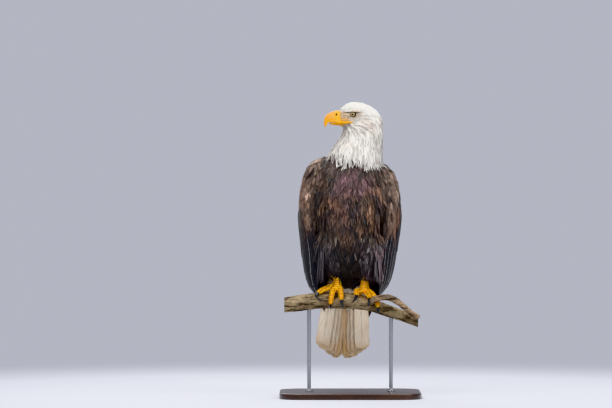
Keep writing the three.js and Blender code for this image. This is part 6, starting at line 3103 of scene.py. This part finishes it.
@dataclass
class Stand:
    """The flat base and the two rods that hold the branch."""

    width: float = 440.0
    depth: float = 350.0
    thickness: float = 18.0
    corner: float = 70.0
    round_over: float = 3.0
    chamfer: float = 1.2
    rods: tuple[float, float] = (-128.0, 128.0)
    rod_radius: float = 6.0
    socket: float = 14.0
    sharp: float = 35.0  # edges that turn by more degrees than this stay sharp

    def build(self, wood: Material, steel: Material) -> None:
        """Makes the base and the rods.

        Args:
            wood: the base's finish.
            steel: the rods' finish.
        """
        dress(self.base(), wood, ["stand_base"])
        for side, x in zip((Side.RIGHT, Side.LEFT), self.rods):
            dress(self.rod(side, x), steel, [f"stand_rod_{side.label}"])

    def base(self) -> Object:
        """A slab with round corners and a rounded upper edge.

        Returns:
            The base's object.
        """
        half = np.array([self.width, self.depth]) / 2 * MM
        top = self.thickness * MM
        bpy.ops.object.select_all(action="DESELECT")
        bpy.ops.mesh.primitive_cube_add(size=2.0, location=(0, 0, top / 2), scale=(*half, top / 2))
        slab = bpy.context.active_object
        slab.name = "stand_wooden_base"
        bpy.ops.object.transform_apply(location=True, rotation=True, scale=True)
        self.bevelled(slab, lambda a, b: np.abs(a[:, 2] - b[:, 2]) > top / 2, self.corner * MM, 20)
        self.bevelled(slab, lambda a, b: np.minimum(a[:, 2], b[:, 2]) > top - 1e-5, self.round_over * MM, 6)
        self.bevelled(slab, lambda a, b: np.maximum(a[:, 2], b[:, 2]) < 1e-5, self.chamfer * MM, 1)
        return self.finished(slab)

    def bevelled(self, obj: Object, test: Choice, offset: float, segments: int) -> None:
        """Bevels some of an object's edges.

        Args:
            obj: the object.
            test: says which edges are meant, from the places of their two ends.
            offset: the bevel's width in metres.
            segments: how many faces it has across.
        """
        ends = vertices_of(obj)[edges_of(obj)]
        pick(obj, "edges", test(ends[:, 0], ends[:, 1]))
        bpy.ops.mesh.bevel(offset=offset, segments=segments, profile=0.5, affect="EDGES")
        bpy.ops.object.mode_set(mode="OBJECT")

    def rod(self, side: Side, x: float) -> Object:
        """A rod that grows out of a flange on the base and ends inside the branch.

        Args:
            side: the side of the bird that it stands on.
            x: its place along the branch, in millimetres.

        Returns:
            The rod's object.
        """
        share = PERCH.share(x)
        top = PERCH_TOP + series(PERCH.axis, share) - series(PERCH.radius, share) + self.socket
        low, radius = self.thickness + 0.3, self.rod_radius
        rings = [(radius + 7, low + 2.4), (radius + 6.4, low + 3.2), (radius + 2.2, low + 3.8),
                 (radius + 1.6, low + 8), (radius, low + 8.6), (radius, float(top))]
        bpy.ops.object.select_all(action="DESELECT")
        bpy.ops.mesh.primitive_cylinder_add(vertices=48, radius=rings[0][0] * MM, depth=2.4 * MM,
                                            location=(x * MM, 0, (low + 1.2) * MM))
        rod = bpy.context.active_object
        rod.name = f"stand_steel_rod_{side.label}"
        bpy.ops.object.transform_apply(location=True, rotation=True, scale=True)
        pick(rod, "polygons", np.array([face.normal.z > 0.9 for face in rod.data.polygons]))
        for (wide, start), (narrow, end) in zip(rings, rings[1:]):
            bpy.ops.mesh.extrude_region_move(TRANSFORM_OT_translate={"value": (0, 0, (end - start) * MM)})
            shrink = narrow / wide
            bpy.ops.transform.resize(value=(shrink, shrink, 1), center_override=(x * MM, 0, end * MM))
        bpy.ops.object.mode_set(mode="OBJECT")
        return self.finished(rod)

    def finished(self, obj: Object) -> Object:
        """Smooths an object up to its sharp edges and unwraps it.

        Args:
            obj: the object.

        Returns:
            The same object.
        """
        only(obj)
        bpy.ops.object.shade_smooth_by_angle(angle=math.radians(self.sharp))
        unwrapped(obj)
        return obj


# ---------------------------------------------------------------------------------------------------------- studio


@dataclass(frozen=True)
class SoftLight:
    """A square softbox aimed at a place."""

    name: str
    place: tuple[float, float, float]
    size: float
    power: float
    aim: tuple[float, float, float] = (0.0, 0.0, 0.6)

    def build(self) -> None:
        """Hangs the light."""
        bpy.ops.object.light_add(type="AREA", location=self.place)
        light = bpy.context.active_object
        light.name = self.name
        light.data.size = self.size
        light.data.energy = self.power
        way = Vector(self.aim) - Vector(self.place)
        light.rotation_euler = way.to_track_quat("-Z", "Y").to_euler()


@dataclass(frozen=True)
class Studio:
    """A pale floor, an even backdrop and soft lights round the model."""

    backdrop: Colour = BACKDROP
    ambient: float = 0.62  # how strongly the backdrop lights the model
    floor_radius: float = 14.0
    lights: tuple[SoftLight, ...] = (
        SoftLight("key_softbox", (-1.8, -3.0, 4.0), 3.0, 200.0),
        SoftLight("fill_softbox", (3.2, -2.6, 2.8), 3.0, 125.0),
        SoftLight("top_softbox", (0.2, 0.6, 4.4), 3.0, 130.0),
        SoftLight("back_softbox", (-1.5, 3.6, 3.4), 2.6, 100.0),
    )

    def build(self) -> None:
        """Sets up the studio."""
        bpy.ops.mesh.primitive_circle_add(vertices=96, radius=self.floor_radius, fill_type="NGON")
        floor = bpy.context.active_object
        floor.name = "studio_floor"
        floor.data.materials.append(StudioFloor().material())
        world = bpy.data.worlds.new("studio_world")
        world.use_nodes = True
        tree = world.node_tree
        background = next(node for node in tree.nodes if node.type == "BACKGROUND")
        background.inputs["Color"].default_value = self.backdrop
        path = tree.nodes.new("ShaderNodeLightPath")
        strength = tree.nodes.new("ShaderNodeMapRange")
        strength.inputs["To Min"].default_value = self.ambient
        tree.links.new(path.outputs["Is Camera Ray"], strength.inputs["Value"])
        tree.links.new(strength.outputs[0], background.inputs["Strength"])
        scene = bpy.context.scene
        scene.world = world
        scene.view_settings.view_transform = "Khronos PBR Neutral"
        for light in self.lights:
            light.build()


@dataclass(frozen=True)
class Camera:
    """The camera straight in front of the perch, level, a long way off."""

    place: tuple[float, float, float] = (-0.1375, -11.0, 0.6031)
    width: float = 1.9125  # how much the view spans at the bird, in metres
    sensor: float = 36.0

    def build(self) -> None:
        """Places the camera and makes it the scene's own."""
        bpy.ops.object.camera_add(location=self.place, rotation=(math.pi / 2, 0, 0))
        camera = bpy.context.active_object
        camera.name = "main_camera"
        camera.data.sensor_width = self.sensor
        camera.data.lens = self.sensor * -self.place[1] / self.width
        camera.data.clip_end = 60
        bpy.context.scene.camera = camera


def finishes() -> dict[str, Material]:
    """The materials of all finishes of the model, by short names.

    Returns:
        Each finish's material.
    """
    return {
        "white": Plumage("plumage_white", barbs=9.0, contrast=0.16, edging=0.35, streak=0.55,
                         shaft=srgb(196, 190, 182)).material(),
        "breast": Plumage("plumage_breast", barbs=8.0, slant=0.3, rim=0.8, edging=0.35, contrast=0.5,
                          streak=0.6, spine=0.2).material(),
        "dark": Plumage("plumage_dark", rim=0.8, edging=0.6, contrast=0.5, streak=0.3, spine=0.3,
                        sides=0.88).material(),
        "flight": Plumage("plumage_flight", barbs=26.0, rim=0.84, edging=1.0, contrast=0.25, roughness=0.46,
                          worn=0.12, shaft=srgb(30, 25, 25)).material(),
        "tail": Plumage("plumage_tail", barbs=14.0, slant=1.2, rim=0.90, contrast=0.2,
                        shaft=srgb(176, 160, 136)).material(),
        "skin": BareSkin("skin_bare").material(),
        "scute": BareSkin("skin_scutes", roughness=0.42, depth=0.0002).material(),
        "cere": BareSkin("skin_cere", pore=1600.0, roughness=0.34, depth=0.00012, gloss=0.25).material(),
        "horn": Horn("horn_bill", srgb(248, 178, 0), srgb(234, 150, 0), roughness=0.4, coat=0.0,
                     gloss=0.3).material(),
        "claw": Horn("horn_claw", srgb(20, 20, 24), srgb(42, 42, 48), roughness=0.22, coat=0.4).material(),
        "eye": EyeGlass().material(),
        "bark": Bark("bark_old", srgb(168, 150, 118), srgb(112, 98, 78), 0.45).material(),
        "young": Bark("bark_young", srgb(172, 146, 116), srgb(112, 100, 86), 1.0).material(),
        "cut": EndGrain().material(),
        "wood": LacqueredWood().material(),
        "steel": BrushedSteel().material(),
    }


def main() -> None:
    """Builds the model and its studio, piece by piece."""
    materials = finishes()
    former = Skin()
    skin, kind = former.build()
    former.paint(skin, kind)
    dress(skin, materials["skin"], list(former.nodes()))
    ground = Ground(skin, kind)
    for tract, finish in tracts():
        tract.build(ground, materials[finish], COAT_SLOTS[finish])
    for side in Side:
        FoldedWing(WINGS[side]).build(materials)
    Tail().build(materials["tail"])
    bill = Bill()
    bill.horn(materials["horn"])
    bill.lower(materials["horn"])
    bill.cere(materials["cere"])
    Eyes().build(materials["eye"])
    for form in FEET:
        Foot(form).build(ground, materials)
    Perch().build(materials["bark"], materials["young"], materials["cut"])
    Stand().build(materials["wood"], materials["steel"])
    Studio().build()
    Camera().build()
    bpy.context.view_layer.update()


if __name__ == "__main__":
    main()
